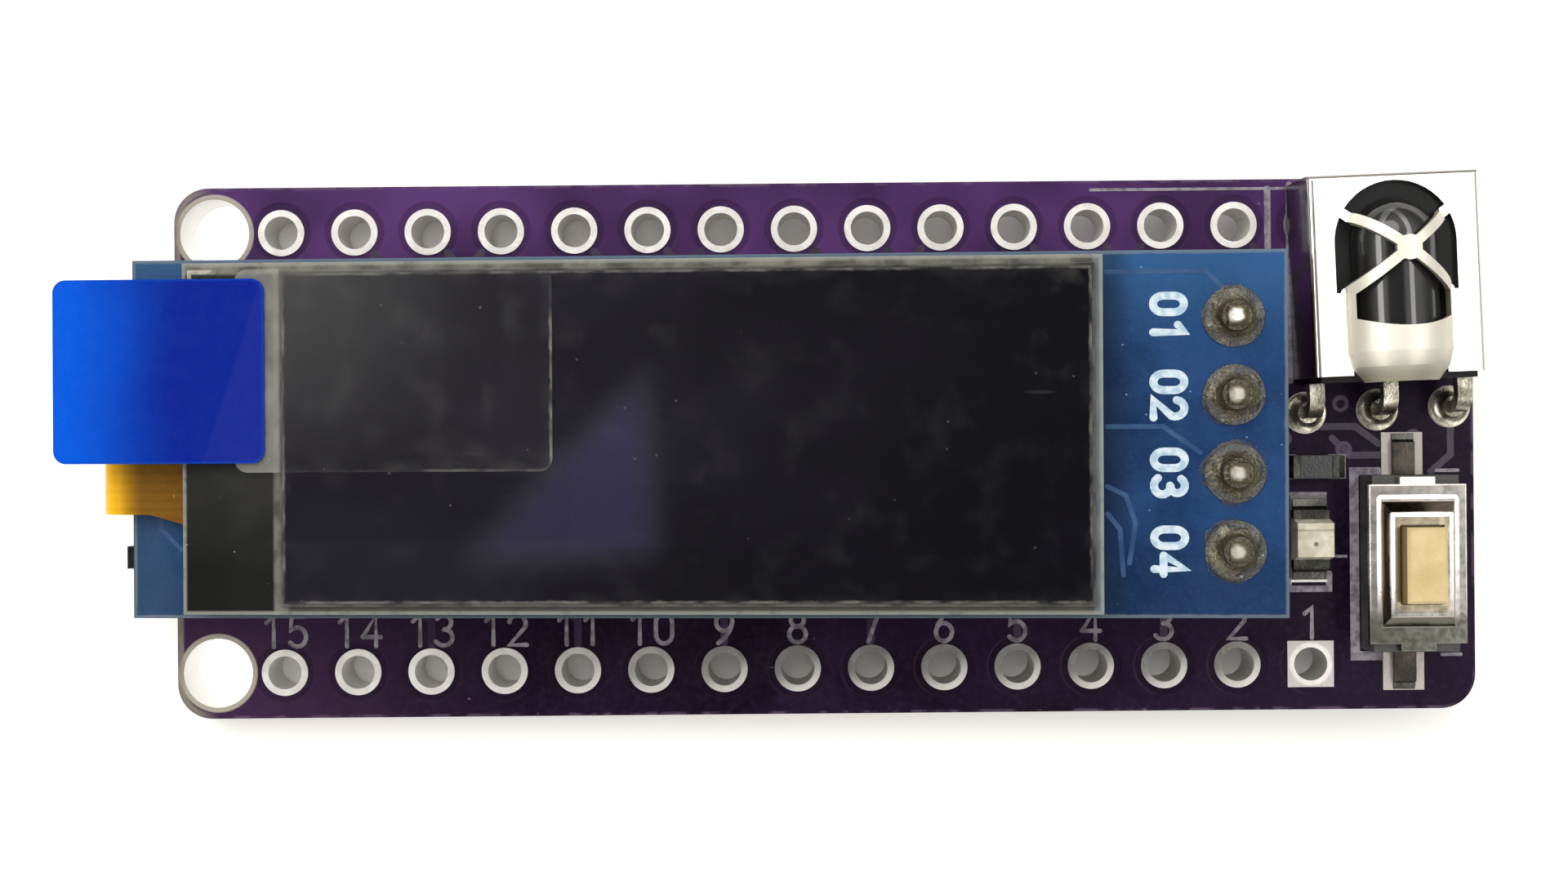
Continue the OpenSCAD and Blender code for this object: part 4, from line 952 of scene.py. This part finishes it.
def carrier_outlines():
    """Printed lines round the receiver, the button, the light and the resistor."""
    mesh = bmesh.new()
    strokes = [
        (0.10, [(10.29, 8.88), (17.09, 8.88)]),
        (0.22, [(16.42, 8.87), (16.42, 6.7)]),
        (0.22, [(17.17, 9.0), (17.17, 2.2)]),
        (0.32, [(20.2, -0.98), (19.34, -0.98), (19.34, -7.36), (20.4, -7.36)]),
        (0.12, [(22.2, -0.95), (22.95, -0.95)]),
        (0.12, [(22.35, -7.33), (23.0, -7.33)]),
        (0.22, [(17.05, -4.75), (17.05, -5.02), (18.45, -5.02), (18.45, -4.5)]),
        (0.12, [(17.14, -1.72), (18.34, -1.72)]),
        (0.10, [(18.7, -3.9), (19.05, -3.9)]),
    ]
    for k, (width, line) in enumerate(strokes):
        high = CARRIER_TOP + INK + OVERLAP * (k % 3)
        ribbon(mesh, line, width, CARRIER_TOP - SUNK, high)
    finish = ink("outline_ink", tone(112, 106, 118), tone(158, 152, 162))
    piece("carrier_outlines", mesh, finish)


def carrier_numbers():
    """Plain numbers along the near row of holes, from right to left, in grey: white print with
    painted shade.
    """
    mesh = bmesh.new()
    low, high = CARRIER_TOP - SUNK, CARRIER_TOP + INK
    for i in range(15):
        number(mesh, str(15 - i), hole_x(i), -6.2, 1.05, 0.15, low, high)
    # Painted shade: the white print is grey in the module's shade.
    finish = ink("shaded_number_ink", tone(104, 98, 108), tone(150, 145, 152))
    piece("carrier_numbers", mesh, finish)


def carrier_tracks():
    """Lacquered tracks from the pads of both rows to the module, and some at the right end."""
    mesh = bmesh.new()
    low, high = CARRIER_TOP - SUNK, CARRIER_TOP + LACQUER
    for i in range(1, 14):
        x = hole_x(i)
        lean = 0.9 if i % 3 else -0.9
        line = [(x + 0.75 * lean, 6.9), (x + 1.9 * lean, 5.7), (x + 1.9 * lean, 2.0)]
        ribbon(mesh, line, 0.26, low, high)
    for i in range(2, 14, 2):
        x = hole_x(i)
        ribbon(mesh, [(x, -6.7), (x, -5.9), (x - 0.8, -5.1), (x - 0.8, -1.5)], 0.26, low, high)
    for line in (
        [(15.7, 1.6), (16.9, 1.6), (17.9, 0.6), (19.4, 0.6), (20.2, 0.0)],
        [(18.6, 0.2), (19.2, -0.4), (20.4, -0.4)],
        [(22.7, 0.9), (22.7, -0.4), (22.0, -1.0)],
    ):
        ribbon(mesh, line, 0.24, low, high)
    finish = track_mask("track_mask", tone(38, 23, 49), tone(56, 36, 69))
    piece("carrier_tracks", mesh, finish)


def vias():
    """Small tented holes: a raised ring with a sunk middle."""
    mesh = bmesh.new()
    spots = [(16.9, 0.2), (18.9, 1.4), (21.4, 0.2), (22.6, 1.6), (16.6, -1.1), (19.0, -0.2)]
    spots += [(hole_x(i) + PITCH / 2, 6.15) for i in range(0, 14, 3)]
    turns = [k * math.pi / 9 for k in range(18)]
    for x, y in spots:
        rings = []
        for radius, height in ((0.31, -SUNK), (0.29, 0.016), (0.17, 0.016), (0.12, -0.002)):
            z = CARRIER_TOP + height
            rings.append([
                mesh.verts.new((x + radius * math.cos(t), y + radius * math.sin(t), z))
                for t in turns
            ])
        stack(mesh, rings)
    finish = track_mask("via_mask", tone(52, 34, 62), tone(78, 56, 88))
    piece("vias", mesh, finish)


def module_numbers():
    """Plain numbers beside the header's pins."""
    mesh = bmesh.new()
    low, high = MODULE_TOP - SUNK, MODULE_TOP + INK
    for i in range(4):
        number(mesh, "0" + str(i + 1), -0.8, pin_y(i), 1.0, 0.26, low, high, MODULE, -90)
    finish = ink("module_ink", tone(176, 206, 226), tone(226, 240, 248), MODULE)
    piece("module_numbers", mesh, finish)


def module_tracks():
    """Lacquered tracks at both ends of the module."""
    mesh = bmesh.new()
    low, high = MODULE_TOP - SUNK, MODULE_TOP + 0.01
    for line in (
        [(-2.8, -1.7), (-2.2, -2.0), (-1.9, -2.9), (-2.1, -4.2)],
        [(-2.8, -2.6), (-2.4, -3.1), (-2.3, -4.6)],
        [(-2.8, 0.25), (-1.0, 0.25), (0.2, -0.6)],
        [(-2.8, 5.3), (0.4, 5.3), (1.0, 4.7)],
        [(-34.3, -1.2), (-34.3, -3.0), (-33.6, -3.7)],
    ):
        ribbon(mesh, line, 0.16, low, high, MODULE)
    finish = track_mask("module_track_mask", tone(34, 72, 118), tone(48, 88, 134), MODULE)
    piece("module_tracks", mesh, finish)


def flux_pools():
    """Hardened flux round the four soldered pins: thin uneven pools with a raised rim."""
    mesh = bmesh.new()
    rand = random.Random(7)
    lobes, steps = 8, 40
    for i in range(4):
        swell = [1.0 + 0.14 * rand.uniform(-1, 1) for _ in range(lobes)]
        rings = []
        for share, height in ((1.12, -SUNK), (1.08, 0.03), (0.98, 0.06), (0.86, 0.05)):
            ring = []
            for k in range(steps):
                angle = 2 * math.pi * k / steps
                spot = k * lobes / steps
                a, b = swell[int(spot) % lobes], swell[(int(spot) + 1) % lobes]
                blend = (1 - math.cos(math.pi * (spot % 1))) / 2
                radius = 0.98 * share * (a + (b - a) * blend)
                x = PIN_X + 0.06 + radius * math.cos(angle)
                y = pin_y(i) + radius * math.sin(angle)
                ring.append(mesh.verts.new(MODULE @ Vector((x, y, MODULE_TOP + height))))
            rings.append(ring)
        stack(mesh, rings)
    piece("flux_pools", mesh, flux_residue(), True)


def ledge_marks():
    """Pale alignment marks on the glass ledge."""
    mesh = bmesh.new()
    low, high = LEDGE_TOP - SUNK, LEDGE_TOP + LACQUER
    ribbon(mesh, [(-32.75, 4.7), (-32.75, 5.45), (-31.9, 5.45)], 0.14, low, high, MODULE)
    ribbon(mesh, [(-32.4, 4.9), (-32.4, 5.15), (-32.1, 5.15)], 0.12, low, high, MODULE)
    finish = ink("ledge_ink", tone(128, 126, 114), tone(196, 192, 176), MODULE)
    piece("ledge_marks", mesh, finish)


def snap_dome():
    """The button's snap dome, built at rest; the real one flattens under the plunger."""
    low, high = (Vector(corner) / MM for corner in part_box("switch_dome"))
    rise = high.z - low.z
    outer = (high.x - low.x) / 2
    middle = Vector(((low.x + high.x) / 2, (low.y + high.y) / 2, high.z - outer))
    thickness = 0.08
    top = math.radians(88)
    steps = 15
    turns = [math.pi * k / 24 for k in range(48)]
    mesh = bmesh.new()
    shells = []
    for radius in (outer, outer - thickness):
        first = math.asin((outer - rise) / radius)
        rings = []
        for i in range(steps + 1):
            lift = first + (top - first) * i / steps
            out, up = math.cos(lift), math.sin(lift)
            rings.append([
                mesh.verts.new(middle + radius * Vector((out * math.cos(t), out * math.sin(t), up)))
                for t in turns
            ])
        for a, b in zip(rings, rings[1:]):
            wall(mesh, a, b)
        mesh.faces.new(rings[-1])
        shells.append(rings)
    wall(mesh, shells[0][0], shells[1][0])
    made = piece("snap_dome", mesh, LEAD, True)
    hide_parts("switch_dome")
    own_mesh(made)


carrier_outlines()
carrier_numbers()
carrier_tracks()
vias()
module_numbers()
module_tracks()
flux_pools()
ledge_marks()
snap_dome()


# Floor, light and camera

# Angle in degrees, half width and strength of the strips that glossy faces mirror
STRIPS = ((-49, 0.12, 8.0), (30, 0.1, 6.0))
# Corners of the violet card, as directions
CARD = ((-0.184, 0.036, 1.0), (-0.178, -0.065, 1.0), (-0.286, -0.067, 1.0))
CARD_STRENGTH = 2.5
ROOM_TINT = (1.0, 0.985, 0.965)
CARD_TINT = (0.43, 0.37, 1.0)
KEY_PLACE = Vector((-0.06, 0.14, 0.21))
CAMERA_PLACE = (-0.41 * MM, 0.265 * MM, 62.6 * MM)
CAMERA_TURN = math.radians(-0.5)


def floor():
    """Pale sheet under the board, which glows under the mounting holes and round the board."""
    f = Finish("pale_floor")
    paper = f.noise(0.9, 3.0)
    mounts = [f.radius(MOUNTING_X - CARRIER_LEFT, side) for side in (-ROW, ROW)]
    under = f.most(*(f.step(mount, 1.2, 1.6, 1.0, 0.0) for mount in mounts))
    middle, *outline = CARRIER_OUTLINE
    outside = f.step(f.round_box(middle - CARRIER_LEFT, *outline), -0.4, 0.6, 0.0, 0.16)
    f.set(
        base=f.mix(f.noise(60.0, 2.0), (0.93, 0.915, 0.895), (0.95, 0.94, 0.925)),
        rough=0.9,
        gloss=0.1,
        glow=f.most(f.mul(under, 0.4), outside),
        normal=f.bump(paper, 0.01),
    )
    mesh = bmesh.new()
    bmesh.ops.create_grid(mesh, x_segments=8, y_segments=8, size=1.5)
    made = add_mesh("pale_floor", mesh, f.material)
    made.location = (CARRIER_LEFT * MM, 0, -0.004 * MM)
    made.rotation_euler = (0, FLOOR_SLOPE, 0)


def studio():
    """White soft room.

    Glossy faces mirror a dark zone overhead, a bright ring, a dim horizon, a card and two strips.
    """
    world = bpy.data.worlds.new("studio")
    bpy.context.scene.world = world
    world.use_nodes = True
    room = Nodes(world.node_tree)
    background = room.tree.nodes["Background"]
    coordinates = room.tree.nodes.new("ShaderNodeTexCoord")

    def toward(direction, low, high, bottom, top):
        """Soft step on how far a ray points along a direction."""
        dot = room.tree.nodes.new("ShaderNodeVectorMath")
        dot.operation = "DOT_PRODUCT"
        dot.inputs[1].default_value = direction
        room.put(dot.inputs[0], coordinates.outputs["Generated"])
        return room.step(dot.outputs["Value"], low, high, bottom, top)

    lean = math.radians(10)
    ring = toward((-math.sin(lean), -0.04, math.cos(lean)), 0.905, 0.958, 1.4, 0.13)
    horizon = toward((0.0, 0.0, 1.0), 0.2, 0.72, 0.22, 1.0)
    front = toward((0.0, 1.0, 0.0), -0.06, 0.03, 0.32, 1.0)
    mirrored = room.mul(room.mul(ring, horizon), front)
    card = None
    for corner, following in zip(CARD, CARD[1:] + CARD[:1]):
        side = Vector(following).cross(Vector(corner)).normalized()
        inside = toward(side, -0.012, 0.012, 0.0, 1.0)
        card = inside if card is None else room.mul(card, inside)
    mirrored = room.add(mirrored, room.mul(card, CARD_STRENGTH))
    for angle, half, strength in STRIPS:
        across = (math.cos(math.radians(angle)), 0.0, -math.sin(math.radians(angle)))
        rise = toward(across, -half - 0.02, -half + 0.02, 0.0, 1.0)
        fall = toward(across, half - 0.02, half + 0.02, 1.0, 0.0)
        strip = room.mul(room.mul(rise, fall), horizon)
        mirrored = room.add(mirrored, room.mul(strip, strength))
    glossy = room.tree.nodes.new("ShaderNodeLightPath").outputs["Is Glossy Ray"]
    choose = room.tree.nodes.new("ShaderNodeMix")
    room.put(choose.inputs[0], glossy)
    room.put(choose.inputs[2], 1.0)
    room.put(choose.inputs[3], mirrored)
    room.put(background.inputs["Strength"], choose.outputs[0])
    tint = room.mix(room.mul(card, glossy), ROOM_TINT, CARD_TINT)
    room.put(background.inputs["Color"], tint)


def key_light():
    """Soft lamp from the far left."""
    data = bpy.data.lights.new("key", "AREA")
    data.shape = "DISK"
    data.size = 0.2
    data.energy = 0.36
    data.color = (1.0, 0.98, 0.95)
    made = add_object("key", data)
    made.location = KEY_PLACE
    made.rotation_euler = (-KEY_PLACE).to_track_quat("-Z", "Y").to_euler()


def camera():
    """The photo's camera, which looks straight down."""
    data = bpy.data.cameras.new("camera")
    data.lens = 40.37
    data.sensor_width = 36.0
    data.clip_start = 0.001
    data.clip_end = 10.0
    made = add_object("camera", data)
    made.location = CAMERA_PLACE
    made.rotation_euler = (0, 0, CAMERA_TURN)
    bpy.context.scene.camera = made


floor()
studio()
key_light()
camera()
bpy.context.scene.view_settings.view_transform = "Standard"
